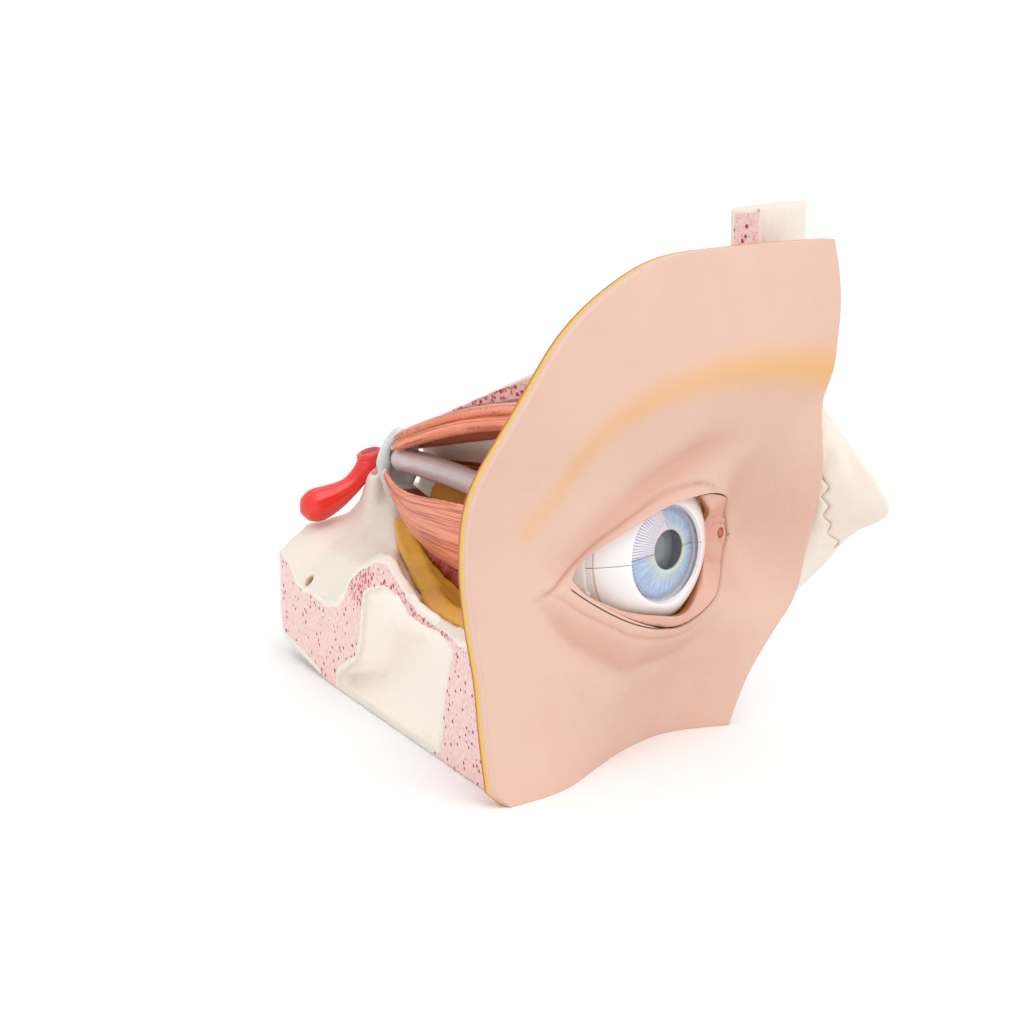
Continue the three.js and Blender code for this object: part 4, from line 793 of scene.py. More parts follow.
def halved(form, side):
    """Keeps the part above (1) or below (-1) the seam, and closes it there."""
    cut = bmesh.ops.bisect_plane(form, geom=form.verts[:] + form.edges[:] + form.faces[:],
                                 plane_co=EYE_CENTRE + SEAM_UP * side * SEAM_GAP / 2,
                                 plane_no=SEAM_UP * -side, clear_outer=True)
    rim = [item for item in cut["geom_cut"] if isinstance(item, bmesh.types.BMEdge)]
    bmesh.ops.holes_fill(form, edges=rim)
    return form


SHARP = math.radians(50)


def edge_softened(form, width, segments=2):
    """Rounds the form's sharp edges a little."""
    sharp = [edge for edge in form.edges if len(edge.link_faces) == 2 and edge.calc_face_angle(0) > SHARP]
    bmesh.ops.bevel(form, geom=sharp, offset=width, offset_type="OFFSET", affect="EDGES",
                    segments=segments, profile=0.5, material=-1, clamp_overlap=True)
    return form


def bored(piece, middle, half_length, radius):
    """Drills an upright hole through the piece about a point."""
    drill = bmesh.new()
    bmesh.ops.create_cone(drill, cap_ends=True, segments=24, radius1=radius, radius2=radius,
                          depth=2 * half_length, matrix=Matrix.Translation(middle))
    tool = made_object("drill", drill)
    cut = piece.modifiers.new("hole", "BOOLEAN")
    cut.operation = "DIFFERENCE"
    cut.solver = "EXACT"
    cut.object = tool
    applied(piece)
    bpy.data.objects.remove(tool)
    return piece


def level_along(paint, way):
    """How far a place lies along a level way from the upright line through the eyeball's centre."""
    return paint.axis("X") * way.x + paint.axis("Y") * way.y


def gaze_reach(paint):
    """Distance from the gaze line."""
    height = paint.axis("Z") - EYE_CENTRE.z
    side = level_along(paint, GAZE_NASAL)
    return (height * height + side * side) ** 0.5


sclera_inner = GLOBE_RADIUS - SCLERA_WALL
limbus_angle = math.asin(LIMBUS_RADIUS / GLOBE_RADIUS)
TENDON_REACH = 26.4 * MM
sclera_paint = Paint("white_sclera", Roughness=0.22, Coat_Weight=0.5, Coat_Roughness=0.08)
sclera_cloud = sclera_paint.noise(0.014, 3)
sclera_reach = gaze_reach(sclera_paint)
outer_side = 1 - level_along(sclera_paint, GAZE_NASAL).step(-0.02, -0.012)
tendon_front = sclera_reach.step(TENDON_REACH, TENDON_REACH + 0.0002) * outer_side
tendon_line = sclera_reach.band(TENDON_REACH - 0.0002, TENDON_REACH + 0.0002, 0.0001)
inside = 1 - sclera_paint.distance(EYE_CENTRE).step(sclera_inner, sclera_inner + 0.0006)
sclera_tone = sclera_paint.coats(
    "f0ecea", (sclera_cloud, "f7f5f4"), (tendon_front * 0.8, "ebe6df"),
    (tendon_line * outer_side * 0.6, "a98a7f"), (inside, "dcc4b8"))
sclera_paint.finish(sclera_tone, 0.2 + sclera_cloud * 0.1, sclera_paint.noise(0.003), 0.00008)

shell_profile = [*arc(GLOBE_RADIUS, math.pi, limbus_angle, 60),
                 *arc(sclera_inner, limbus_angle, math.pi, 56)]
pin_reach = GLOBE_RADIUS - SCLERA_WALL / 2
for name, node, body, side in [("sclera_upper_shell", "sclera_upper", "globe_top", 1),
                               ("sclera_lower_shell", "sclera_lower", "orbit_base", -1)]:
    shell = made_object(name, edge_softened(halved(turned(shell_profile, closed=False), side), 0.2 * MM))
    for way in (-1, 1):
        pin_place = EYE_CENTRE + GAZE_NASAL * way * pin_reach
        bored(shell, pin_place, PIN_LENGTH / 2 + SEAM_GAP, PIN_RADIUS + SEAM_GAP)
    seat(shell, sclera_paint, body, "sclera", node)

# The model's steel pins: turned rods with rounded ends. Two small ones line up the halves of the sclera, and
# two large ones stick out of the bone and carry the mask.
steel_paint = Paint("steel_pin", Metallic=0.95, Roughness=0.25)
steel_lines = steel_paint.noise(0.0012, at=steel_paint.stretched((1, 1, 12)))
steel_paint.finish(steel_paint.mix(steel_lines, "a9adb1", "cdd0d3"), 0.2 + steel_lines * 0.2,
                   steel_lines, 0.00005)


def rod(name, low, high, radius):
    """Round rod with softened ends between two points."""
    form = bmesh.new()
    way = high - low
    turn = way.to_track_quat("Z", "Y").to_matrix().to_4x4()
    bmesh.ops.create_cone(form, cap_ends=True, segments=32, radius1=radius, radius2=radius,
                          depth=way.length, matrix=Matrix.Translation((low + high) / 2) @ turn)
    edge_softened(form, radius * 0.3, segments=3)
    return made_object(name, form)


for name, node, way in [("seam_pin_outer", "seam_pin_1", -1), ("seam_pin_inner", "seam_pin_2", 1)]:
    middle = EYE_CENTRE + GAZE_NASAL * way * pin_reach
    reach = Vector((0, 0, PIN_LENGTH / 2))
    pin = rod(name, middle - reach, middle + reach, PIN_RADIUS)
    seat(pin, steel_paint, "orbit_base", "steel_pin", node)
for name, node in [("mask_peg_upper", "mask_pin_upper"), ("mask_peg_lower", "mask_pin_lower")]:
    low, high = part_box(node)
    middle = (low + high) / 2
    peg = rod(name, Vector((middle.x, low.y, middle.z)), Vector((middle.x, high.y, middle.z)),
              (high.z - low.z) / 2)
    seat(peg, steel_paint, "orbit_base", "steel_pin", node)

# The choroid with the retina: two dark shell halves inside the sclera, whose front carries the ciliary ring.
# They are painted red-brown outside with vessels, and orange-red inside with the retina's finer vessels.
CHOROID_WALL = 1.8 * MM
IRIS_FRONT = 29.3 * MM
IRIS_SEAT = 28.19 * MM
IRIS_THICKNESS = 1.2 * MM
IRIS_RADIUS = 16 * MM
PUPIL_RADIUS = 6.6 * MM
CILIARY_BORE = 14 * MM
CILIARY_DEPTH = 4.2 * MM
choroid_outer = sclera_inner - FIT_GAP
choroid_inner = choroid_outer - CHOROID_WALL
iris_back = IRIS_SEAT - IRIS_THICKNESS
ciliary_front = iris_back - SEAM_GAP
ciliary_back = ciliary_front - CILIARY_DEPTH

choroid_paint = Paint("choroid_and_retina", Roughness=0.38, Coat_Weight=0.2)
choroid_cloud = choroid_paint.noise(0.012, 3)
choroid_ahead = level_along(choroid_paint, GAZE)
vessel_sway = choroid_paint.node(
    "ShaderNodeTexNoise", {}, {"Vector": choroid_paint.place, "Scale": 130.0}, "Color")
vessel_sway = choroid_paint.node(
    "ShaderNodeVectorMath", {"operation": "SCALE"}, {0: vessel_sway, "Scale": 0.009})
vessel_place = choroid_paint.node(
    "ShaderNodeVectorMath", {"operation": "ADD"}, {0: choroid_paint.place, 1: vessel_sway})
vessel_net = choroid_paint.node("ShaderNodeTexVoronoi", {"feature": "DISTANCE_TO_EDGE"},
                                {"Vector": vessel_place, "Scale": 150.0})
vessels = 1 - vessel_net.step(choroid_cloud * 0.05, choroid_cloud * 0.05 + 0.03)
retina_side = 1 - choroid_paint.distance(EYE_CENTRE).step(choroid_inner + 0.0003, choroid_inner + 0.0009)
# Painted shade: the ciliary ring's bore and the front of the retina, seen past the lens through the pupil,
# are painted grey.
bore_painted_shade = choroid_ahead.step(ciliary_back - 0.0006, ciliary_back - 0.0002) * (
    1 - gaze_reach(choroid_paint).step(CILIARY_BORE + 0.0003, CILIARY_BORE + 0.0006))
retina_tone = choroid_paint.coats("d97a4c", (choroid_cloud, "e89a68"), (vessels * 0.6, "b8402c"),
                                  (choroid_ahead.step(0.012, 0.015), "6a6664"))
choroid_tone = choroid_paint.coats("4a201a", (choroid_cloud, "6e3024"), (vessels * 0.75, "9c2f28"),
                                   (retina_side, retina_tone), (bore_painted_shade, "85888c"))
choroid_paint.finish(choroid_tone, 0.32 + choroid_cloud * 0.15, vessels + choroid_cloud * 0.3, 0.0003)
choroid_profile = [
    *arc(choroid_outer, math.pi, math.acos(ciliary_front / choroid_outer), 48),
    (CILIARY_BORE, ciliary_front), (CILIARY_BORE, ciliary_back),
    *arc(choroid_inner, math.acos(ciliary_back / choroid_inner), math.pi, 44),
]
for name, node, body, side in [("choroid_upper_shell", "choroid_upper", "choroid_top", 1),
                               ("choroid_lower_shell", "choroid_lower", "choroid_bottom", -1)]:
    form = edge_softened(halved(turned(choroid_profile, closed=False), side), 0.15 * MM)
    seat(made_object(name, form), choroid_paint, body, "choroid", node)

# The iris: a pale blue ring in two halves with fine rays and a yellowish collar round the pupil. On its upper
# outer quarter the front layer is left off, so that the red and blue vessels beneath show on white.
WINDOW_START = math.radians(88)
PUPIL_SHIFT = 3.8 * MM
iris_paint = Paint("blue_iris", Roughness=0.35, Coat_Weight=0.2)
iris_out = iris_paint.attribute("out")
iris_turn = iris_paint.attribute("turn")
rays = iris_paint.noise(0.5, 4, 0.6, at=iris_paint.point(iris_turn * 9.0, iris_out * 0.7))
fine_rays = iris_paint.noise(0.6, 3, 0.6, at=iris_paint.point(iris_turn * 30.0, iris_out * 0.9, 3.0))
collar = 1 - (iris_out + (fine_rays - 0.5) * 0.8).step(-0.1, 0.55)
blue = iris_paint.coats(
    "8fa9d0", (rays.step(0.35, 0.65), "bccfe9"),
    (iris_out.step(0.6, 1.0) * 0.5, "9a9dc2"), (collar * 0.9, "dde2cc"),
    (fine_rays.step(0.58, 0.72) * 0.5, "eaf2f8"),
    (iris_out.step(0.93, 1.0) * 0.5, "838cab"))
vessel_waves = iris_turn * 84.0 + (iris_paint.noise(0.003) - 0.5) * 5.0
vessel_wave = iris_paint.math("SINE", vessel_waves)
vessel_half = iris_paint.math("SINE", vessel_waves * 0.5 + 0.6)
vessel_lines = (vessel_wave + (fine_rays - 0.5) * 0.8).step(0.15, 0.75)
vessel_lines = vessel_lines * iris_out.band(0.08, 0.97, 0.03)
vessel_tone = iris_paint.mix(vessel_half.step(-0.1, 0.1), "d85f7a", "7ba2d2")
bare = iris_paint.coats("f2f3f9", (vessel_lines * 0.85, vessel_tone),
                        (iris_out.band(0.02, 0.05, 0.012), "dd8296"))
window = iris_turn.step(WINDOW_START - 0.01, WINDOW_START + 0.01)
iris_paint.finish(iris_paint.mix(window, blue, bare), 0.3 + rays * 0.15,
                  rays * 0.5 + fine_rays * 0.4 + collar * 0.6 - window * 0.8, 0.0005)
iris_profile = [
    (PUPIL_RADIUS, IRIS_FRONT - 0.0002), (PUPIL_RADIUS * 1.03, IRIS_FRONT + 0.0001),
    (PUPIL_RADIUS * 1.35, IRIS_FRONT + 0.0001), (PUPIL_RADIUS * 1.5, IRIS_FRONT - 0.0001),
    (IRIS_RADIUS * 0.9, IRIS_FRONT - 0.0002), (IRIS_RADIUS, IRIS_FRONT - 0.0001),
    (IRIS_RADIUS, iris_back), (PUPIL_RADIUS + 0.003, iris_back), (PUPIL_RADIUS, IRIS_FRONT - 0.0006),
]
for name, node, body, side in [("iris_upper_ring", "iris_upper", "choroid_top", 1),
                               ("iris_lower_ring", "iris_lower", "choroid_bottom", -1)]:
    half_ring = made_object(name, halved(turned(iris_profile), side))
    ring_points = points_of(half_ring.data)
    ring_offset = ring_points - EYE_CENTRE
    ring_side = ring_offset @ SEAM_SIDE
    ring_height = ring_offset @ SEAM_UP
    ring_out = np.hypot(ring_side, ring_height)
    ring_share = rise(ring_out, PUPIL_RADIUS, IRIS_RADIUS)
    mark(half_ring.data, "out", ring_share)
    mark(half_ring.data, "turn", np.arctan2(ring_height, ring_side))
    move_points(half_ring.data, ring_points + PUPIL_SHIFT * (1 - ring_share)[:, None] * SEAM_SIDE)
    seat(half_ring, iris_paint, body, "iris", node)

# The lens and the vitreous body: clear acrylic, the lens tinted a smoky dark grey as painted shade so that
# the pupil reads dark. The lens is flatter in front, rests in a hollow of the vitreous, and both lift out
# together.
LENS_RADIUS = 13.3 * MM
LENS_THICKNESS = 10.4 * MM
lens_middle = iris_back - FIT_GAP - LENS_THICKNESS / 2


def lens_profile(grow, steps=32):
    """The lens's half profile, flatter in front, with a margin all round."""
    profile = []
    for angle in np.linspace(0, math.pi, steps + 1):
        bulge = 0.5 if math.cos(angle) > 0 else 0.58
        ahead = lens_middle + (LENS_THICKNESS * bulge + grow) * math.cos(angle)
        profile.append(((LENS_RADIUS + grow) * abs(math.sin(angle)), ahead))
    return profile


def clear_paint(name, tone, edge_tone, body_share, edge_share, roughness):
    """Clear resin: nearly see-through face on, and denser in its edge tone toward grazing views, a painted
    reflection.
    """
    paint = Paint(name, Roughness=roughness, IOR=1.45, Coat_Weight=0.6, Coat_Roughness=0.03)
    facing = paint.node("ShaderNodeLayerWeight", {}, {"Blend": 0.35}, "Facing")
    haze = paint.noise(0.01)
    paint.feed("Base Color", paint.mix(facing, tone, edge_tone))
    paint.feed("Roughness", roughness + haze * 0.04)
    paint.feed("Alpha", paint.math("MINIMUM", facing ** 2.0 * edge_share + body_share + haze * 0.02, 0.95))
    return paint


# The lens is tinted dark grey, painted shade that keeps the pupil dark as the eye's shaded inside would.
lens_paint = clear_paint("lens_painted_pupil_shade", "696b6e", "93969a", 0.84, 0.11, 0.2)
seat(made_object("lens_body", turned(lens_profile(0), closed=False)), lens_paint, "vitreous", "lens", "lens")
vitreous_radius = choroid_inner - FIT_GAP
vitreous_front = ciliary_back - FIT_GAP
hollow = [point for point in lens_profile(FIT_GAP) if point[1] < vitreous_front]
hollow_lip = ((LENS_RADIUS + FIT_GAP) * 0.995, vitreous_front)
vitreous_profile = [*arc(vitreous_radius, math.pi, math.acos(vitreous_front / vitreous_radius), 40),
                    hollow_lip, *hollow]
vitreous_paint = clear_paint("clear_vitreous", "d9e4ea", "c3d2dc", 0.16, 0.5, 0.05)
seat(made_object("vitreous_ball", turned(vitreous_profile, closed=False)), vitreous_paint, "vitreous",
     "vitreous", "vitreous_body")

# The cornea: a clear domed window let into the front of the sclera, blown thin, with a grey-blue rim where it
# meets the white. It comes off with the upper half.
CORNEA_CURVE = 24 * MM
CORNEA_WALL = 1.4 * MM
edge_angle = limbus_angle - FIT_GAP / sclera_inner
edge_reach = GLOBE_RADIUS * math.sin(edge_angle)
edge_ahead = GLOBE_RADIUS * math.cos(edge_angle)
dome_middle = edge_ahead - math.sqrt(CORNEA_CURVE ** 2 - edge_reach ** 2)


def dome(radius, ahead, steps):
    """Half profile of one side of the cornea, from its peak back to a depth."""
    limit = math.acos((ahead - dome_middle) / radius)
    return [(reach, depth + dome_middle) for reach, depth in arc(radius, 0, limit, steps)]


flange_reach = (sclera_inner + SEAM_GAP) * math.sin(edge_angle)
flange_ahead = (sclera_inner + SEAM_GAP) * math.cos(edge_angle)
cornea_profile = [
    *dome(CORNEA_CURVE, edge_ahead, 28), (flange_reach, flange_ahead),
    (flange_reach - CORNEA_WALL, flange_ahead),
    *reversed(dome(CORNEA_CURVE - CORNEA_WALL, edge_ahead - MM, 26)),
]
cornea_paint = Paint("clear_cornea", IOR=1.38, Coat_Weight=0.5, Coat_Roughness=0.02)
cornea_facing = cornea_paint.node("ShaderNodeLayerWeight", {}, {"Blend": 0.3}, "Facing")
cornea_rim = gaze_reach(cornea_paint).step(LIMBUS_RADIUS * 0.965, LIMBUS_RADIUS * 0.99)
cornea_ahead = level_along(cornea_paint, GAZE)
nasal_share = level_along(cornea_paint, GAZE_NASAL).step(0.002, 0.013)
# Painted shade: a dark band on the flange where the iris's rim lies in the gap behind it, darker on the nasal
# side.
seat_painted_shade = cornea_ahead.band(edge_ahead - 0.0014, edge_ahead - 0.001, 0.0001)
seat_painted_shade = seat_painted_shade * (0.35 + nasal_share * 0.5)
seat_pink = cornea_ahead.band(edge_ahead - 0.0021, edge_ahead - 0.0015, 0.0001)
cornea_haze = cornea_paint.noise(0.008)
cornea_seat = cornea_paint.math("MAXIMUM", seat_painted_shade, seat_pink * 0.55)
# Painted reflection: the cornea turns whiter and less clear toward grazing views, besides its grey-blue rim.
cornea_sheen_alpha = 0.02 + cornea_rim * cornea_facing * 0.55 + cornea_facing ** 4.0 * 0.35 + cornea_haze * 0.02
cornea_paint.feed("Base Color", cornea_paint.coats(
    "e4eaf2", (cornea_rim, "8790a2"), (seat_pink, "d9c6cc"), (seat_painted_shade, "3f4756")))
cornea_paint.feed("Roughness", 0.03 + cornea_haze * 0.03)
cornea_paint.feed("Alpha", cornea_paint.math(
    "MINIMUM", cornea_paint.math("MAXIMUM", cornea_sheen_alpha, cornea_seat), 0.9))
cornea = made_object("cornea_window", turned(cornea_profile, closed=False))
seat(cornea, cornea_paint, "globe_top", "cornea", "cornea")

# The face mask: half a face cast in skin-coloured resin, 4.5 mm thick. Its sawn edge shows the cast layers,
# pale skin, a yellow line of fat and an orange-red line of muscle, and the brow is painted on. It hangs on
# two pins.
MASK_THICKNESS = 4.5
GAP_LINE_MIDDLE = (4.5, 115.5)
GAP_LINE_RADIUS = 70.8
GAP_LINE_START = -44.5
GAP_LINE_END = -4.5
CORNER = Vector((43.3, -20.5, 67)) * MM
UPPER_CREASE = [(-58.5, 61), (-52.5, 63.4), (-47.6, 66.8), (-41.9, 72.3), (-33.2, 79.6), (-20.9, 86.9),
                (-9.4, 90.9), (3.6, 91.8), (14.6, 89.8), (24, 85)]
LOWER_CREASE = [(-57, 66), (-48.1, 61.9), (-40.7, 55.9), (-30, 49.8), (-21.8, 45.7), (-4.4, 41.7),
                (12.2, 40.4), (25, 43.5)]
POUCH = [(-58, 64), (-54.9, 59.5), (-44.1, 45.8), (-20.9, 33), (13.9, 30.7), (34, 38)]
SULCUS = [(-50, 67), (-40.2, 76.6), (-31.6, 84), (-22.8, 90.3), (-14.3, 94.3), (-1.9, 98), (10, 101),
          (24, 102), (36, 98)]
BROW = [(-59.2, 83.5), (-49.4, 96.8), (-40.9, 112.2), (-25.5, 122.4), (-3.7, 126.6), (20.2, 127.8),
        (47.6, 125.9), (66, 122.5)]


def from_line(points, line):
    """Distance in mm from a line drawn on the face, and how far along it the nearest place is, 0 to 1."""
    flat = points[:, [0, 2]] / MM
    nodes = np.array(smooth_line(line))
    lengths = np.linalg.norm(np.diff(nodes, axis=0), axis=1)
    starts = np.concatenate([[0], np.cumsum(lengths)]) / lengths.sum()
    nearest = np.full(len(flat), 1e9)
    where = np.zeros(len(flat))
    for i, length in enumerate(lengths):
        way = (nodes[i + 1] - nodes[i]) / length
        ahead = np.clip((flat - nodes[i]) @ way, 0, length)
        distance = np.linalg.norm(flat - nodes[i] - ahead[:, None] * way, axis=1)
        closer = distance < nearest
        nearest = np.where(closer, distance, nearest)
        where = np.where(closer, starts[i] + (starts[i + 1] - starts[i]) * ahead / length, where)
    return nearest, where


def smooth_line(line, steps=8):
    """The same line with rounded bends."""
    nodes = np.array(line, float)
    at = np.linspace(0, 1, len(nodes))
    fine = np.linspace(0, 1, (len(nodes) - 1) * steps + 1)
    slopes = np.gradient(nodes, at, axis=0)
    out = []
    for u in fine:
        i = min(int(u * (len(nodes) - 1)), len(nodes) - 2)
        width = at[i + 1] - at[i]
        v = (u - at[i]) / width
        out.append((2 * v ** 3 - 3 * v ** 2 + 1) * nodes[i] + (v ** 3 - 2 * v ** 2 + v) * width * slopes[i]
                   + (3 * v ** 2 - 2 * v ** 3) * nodes[i + 1] + (v ** 3 - v ** 2) * width * slopes[i + 1])
    return out


def fade(where, start, end):
    """1 along the middle of a line, and 0 at its ends."""
    return rise(where, 0, start) * rise(where, 1, 1 - end)


def hump(near, width, middle=0.0):
    """1 at a distance from a line, falling away smoothly on both sides of it."""
    return np.exp(-((near - middle) / width) ** 2)


def beside(mesh, node, reach, tilt):
    """How far each point of the mesh lies on a side face that stands across a narrow gap from the node."""
    neighbour = merged_copy(node)
    tree = BVHTree.FromBMesh(neighbour)
    neighbour.free()
    sideways = np.abs(normals_of(mesh)[:, 1]) < tilt
    points = points_of(mesh)
    near = np.zeros(len(points))
    for index in np.nonzero(sideways)[0]:
        if tree.find_nearest(points[index], reach * MM)[0] is not None:
            near[index] = 1
    return near


def gap_shade(paint, low, high):
    """Painted shade in the narrow gap beside the insert: nasal of the drawn line, but off the inner corner.
    """
    nasal_side = paint.axis("X").step((GAP_LINE_END - 5) * MM, (GAP_LINE_END + 1) * MM)
    off_corner = paint.distance(CORNER).step(0.007, 0.0085)
    return paint.attribute("gap").step(low, high) * nasal_side * off_corner


mask_form = merged_copy("face_mask")
not_front = [face for face in mask_form.faces if face.normal.y > -0.12]
bmesh.ops.delete(mask_form, geom=not_front, context="FACES")
bmesh.ops.join_triangles(mask_form, faces=mask_form.faces[:], angle_face_threshold=3.1,
                         angle_shape_threshold=3.1)
crease = mask_form.verts.layers.float.new("crease_vert")
for vert in mask_form.verts:
    border = [edge for edge in vert.link_edges if edge.is_boundary]
    if len(border) == 2:
        ways = [(edge.other_vert(vert).co - vert.co).normalized() for edge in border]
        flat_ways = [Vector((way.x, 0, way.z)).normalized() for way in ways]
        if flat_ways[0].dot(flat_ways[1]) > -0.75:
            vert[crease] = 1
mask = made_object("face_mask_skin", mask_form)
rounder = mask.modifiers.new("round", "SUBSURF")
rounder.levels = rounder.render_levels = 3
applied(mask)

mask_form = bmesh.new()
mask_form.from_mesh(mask.data)
behind = mask_form.verts.layers.float.new("behind")
grown = bmesh.ops.extrude_face_region(mask_form, geom=mask_form.faces[:], use_keep_orig=True)
back_verts = [item for item in grown["geom"] if isinstance(item, bmesh.types.BMVert)]
bmesh.ops.translate(mask_form, verts=back_verts, vec=(0, MASK_THICKNESS * MM, 0))
bmesh.ops.recalc_face_normals(mask_form, faces=mask_form.faces[:])
for vert in mask_form.verts:
    vert[behind] = 0
for vert in back_verts:
    vert[behind] = 1
front_rim = [edge for edge in mask_form.edges
             if len(edge.link_faces) == 2 and edge.calc_face_angle(0) > math.radians(45)
             and edge.verts[0][behind] == 0 and edge.verts[1][behind] == 0]
bmesh.ops.bevel(mask_form, geom=front_rim, offset=0.5 * MM, offset_type="OFFSET", affect="EDGES", segments=2,
                profile=0.5, material=-1, clamp_overlap=True)
mask_form.to_mesh(mask.data)
mask_form.free()

mask_points = points_of(mask.data)
is_front = marked(mask.data, "behind") < 0.5
upper_near, upper_where = from_line(mask_points, UPPER_CREASE)
lower_near, lower_where = from_line(mask_points, LOWER_CREASE)
pouch_near, pouch_where = from_line(mask_points, POUCH)
sulcus_near, sulcus_where = from_line(mask_points, SULCUS)
brow_near, brow_where = from_line(mask_points, BROW)
relief = -0.75 * hump(upper_near, 0.9) * fade(upper_where, 0.12, 0.15)
relief += 0.6 * hump(upper_near, 1.6, 2.2) * fade(upper_where, 0.12, 0.2)
relief -= 0.35 * hump(lower_near, 0.8) * fade(lower_where, 0.15, 0.25)
relief += 0.3 * hump(lower_near, 1.6, 2.4) * fade(lower_where, 0.15, 0.25)
above_pouch = mask_points[:, 2] / MM - np.interp(mask_points[:, 0] / MM, *zip(*POUCH))
pouch_rise = rise(above_pouch, 0, 9) * rise(above_pouch, 24, 12)
relief -= 2.0 * hump(pouch_near, 4.2) * fade(pouch_where, 0.15, 0.45)
relief += 0.8 * pouch_rise * (np.abs(mask_points[:, 0] / MM + 12) < 46) * fade(pouch_where, 0.2, 0.4)
relief -= (1.2 + 2.2 * sulcus_where) * hump(sulcus_near, 6.0) * fade(sulcus_where, 0.2, 0.25)
relief -= 0.7 * hump(sulcus_near, 2.2) * fade(sulcus_where, 0.45, 0.3)
relief += 1.3 * hump(brow_near, 7.5) * brow_where
relief += 0.02 * ripple(mask_points, 5, 31)
mask_points[:, 1] -= np.where(is_front, relief, 0) * MM
move_points(mask.data, mask_points)
mark(mask.data, "brow", np.where(is_front, np.exp(-(brow_near / (3.0 + 4.6 * brow_where)) ** 2.2), 0)
     * (0.45 + 0.55 * brow_where))
# Painted shade: the hollow under the brow and the pouch above its lower line are marked to be painted darker.
pouch_shade = rise(above_pouch, -1.5, 1.5) * rise(above_pouch, 18, 2)
mark(mask.data, "hollow", 0.9 * hump(sulcus_near, 5.0) * fade(sulcus_where, 0.1, 0.2)
     + 0.8 * pouch_shade * fade(pouch_where, 0.12, 0.4) * (pouch_near < 24))
mark(mask.data, "gap", beside(mask.data, "lid_insert", 1.0, 0.8) * ~is_front)
# Painted shade along the lid creases, where the relief has its grooves.
mark(mask.data, "fold_shade", hump(upper_near, 0.5) * fade(upper_where, 0.1, 0.15)
     + 0.7 * hump(lower_near, 0.5) * fade(lower_where, 0.15, 0.25))

skin_paint = Paint("mask_skin", Roughness=0.45, Specular_IOR_Level=0.35)
skin_cloud = skin_paint.noise(0.03, 3)
layer = skin_paint.attribute("behind") + (skin_paint.noise(0.01, 1) - 0.5) * 0.04
# A thin dark line under the lower lid is the gap's painted shadow, and the gap's side walls get painted
# shade.
line_middle = Vector((GAP_LINE_MIDDLE[0], 0, GAP_LINE_MIDDLE[1])) * MM
line_away = skin_paint.distance(line_middle, skin_paint.stretched((1, 0, 1)))
line_off = skin_paint.math("ABSOLUTE", line_away - GAP_LINE_RADIUS * MM)
skin_low = 1 - skin_paint.axis("Z").step(0.068, 0.0685)
line_part = skin_paint.axis("X").band(GAP_LINE_START * MM, GAP_LINE_END * MM, 0.0006)
gap_shadow_line = (1 - line_off.step(0.00018, 0.00032)) * skin_low * line_part
gap_painted_shade = skin_paint.math("MAXIMUM", gap_shadow_line * 0.95, gap_shade(skin_paint, 0.2, 0.3))
# The skin's tone carries painted shade: darker in the hollows, along the lid creases and in the gap beside
# the insert.
skin_tone = skin_paint.coats(
    "d9b09e", (skin_cloud, "e1beac"), (skin_paint.noise(0.012).step(0.5, 0.8) * 0.15, "d9a492"),
    (skin_paint.attribute("hollow") * 0.5, "cb927c"), (skin_paint.attribute("fold_shade") * 0.6, "b8806a"),
    (skin_paint.attribute("brow") * 0.8, "e3ac62"), (layer.step(0.03, 0.12), "e6bfb0"),
    (layer.step(0.5, 0.56), "f9cd6a"), (layer.step(0.84, 0.88), "dc8660"),
    (gap_painted_shade, "543628"))
skin_paint.finish(skin_tone, 0.4 + skin_cloud * 0.12, skin_paint.noise(0.0008), 0.00012)
seat(mask, skin_paint, "mask", "skin", "face_mask")

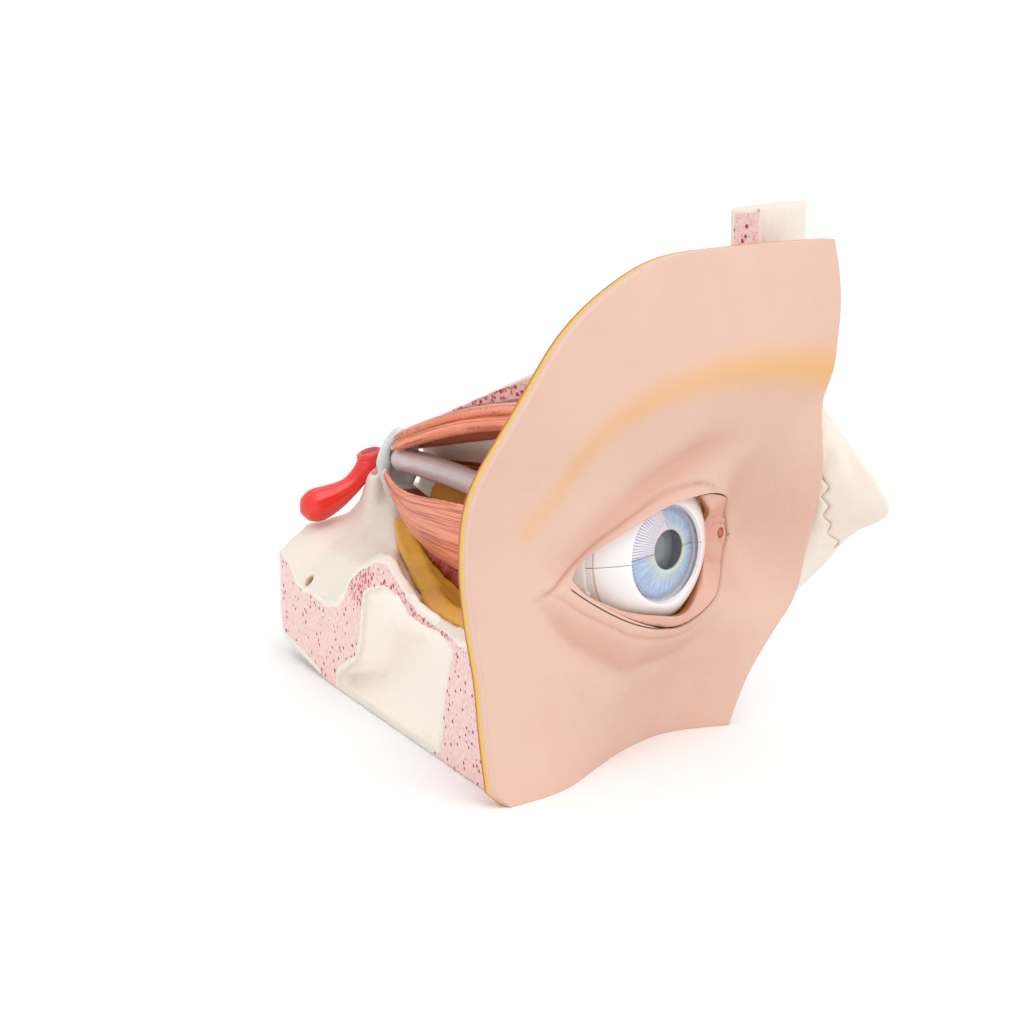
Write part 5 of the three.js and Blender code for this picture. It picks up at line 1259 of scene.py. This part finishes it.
# The lid insert: a thin crescent of skin along the lower lid and up its nasal side, cast apart so that it can
# flex against the eyeball. A narrow gap runs round it, its side walls painted dark toward the nose as painted
# shade, and a small red bead, the caruncle, sits in its corner between two little raised papillae.
PATCH_MIDDLE = Vector((37.6, -21.5, 67.8)) * MM
insert_paint = Paint("lid_insert", Roughness=0.4, Specular_IOR_Level=0.4)
insert_cloud = insert_paint.noise(0.012, 3)
eye_away = insert_paint.distance(EYE_CENTRE) + (insert_cloud - 0.5) * 0.0006
near_eye = 1 - eye_away.step(GLOBE_RADIUS + 0.0018, GLOBE_RADIUS + 0.003)
patch = 1 - insert_paint.distance(PATCH_MIDDLE).step(0.0026, 0.0036)
# The insert's side walls at the gap get painted shade.
insert_tone = insert_paint.coats(
    "d6a38e", (insert_cloud, "e0b5a1"), (near_eye, "a8622c"), (patch * 0.7, "e79a96"),
    (gap_shade(insert_paint, 0.4, 0.8), "543628"))
insert_paint.finish(insert_tone, 0.34 + insert_cloud * 0.15, insert_paint.noise(0.0015), 0.00015)
insert = even_mesh("lid_insert_crescent", "lid_insert", 0.45)
relax(insert.data, 6)
PAPILLAE = [Vector((42.9, -22.2, 71.4)) * MM, Vector((42.0, -22.2, 63.6)) * MM]
insert_points = points_of(insert.data)
for papilla in PAPILLAE:
    away = np.linalg.norm(insert_points - papilla, axis=1) / MM
    raise_points(insert.data, 0.8 * hump(away, 0.8) - 0.2 * hump(away, 0.5, 1.6))
mark(insert.data, "gap", beside(insert.data, "face_mask", 0.6, 0.45))
seat(insert, insert_paint, "mask", "skin", "lid_insert")

caruncle_paint = Paint("red_caruncle", Roughness=0.5, Coat_Weight=0.1)
caruncle_cloud = caruncle_paint.noise(0.0014, 3)
caruncle_paint.finish(caruncle_paint.mix(caruncle_cloud, "b85f50", "cc7767"), 0.42 + caruncle_cloud * 0.2,
                      caruncle_cloud, 0.0003)
bead_low, bead_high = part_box("caruncle")
bead_form = bmesh.new()
bead_size = (bead_high - bead_low) / 2
bmesh.ops.create_icosphere(bead_form, subdivisions=4, radius=1)
bmesh.ops.scale(bead_form, verts=bead_form.verts[:], vec=bead_size * 0.985)
bmesh.ops.translate(bead_form, verts=bead_form.verts[:], vec=(bead_low + bead_high) / 2)
bead = made_object("caruncle_bead", bead_form)
raise_points(bead.data, 0.05 * ripple(points_of(bead.data), 2.2, 41))
seat(bead, caruncle_paint, "mask", "caruncle", "caruncle")
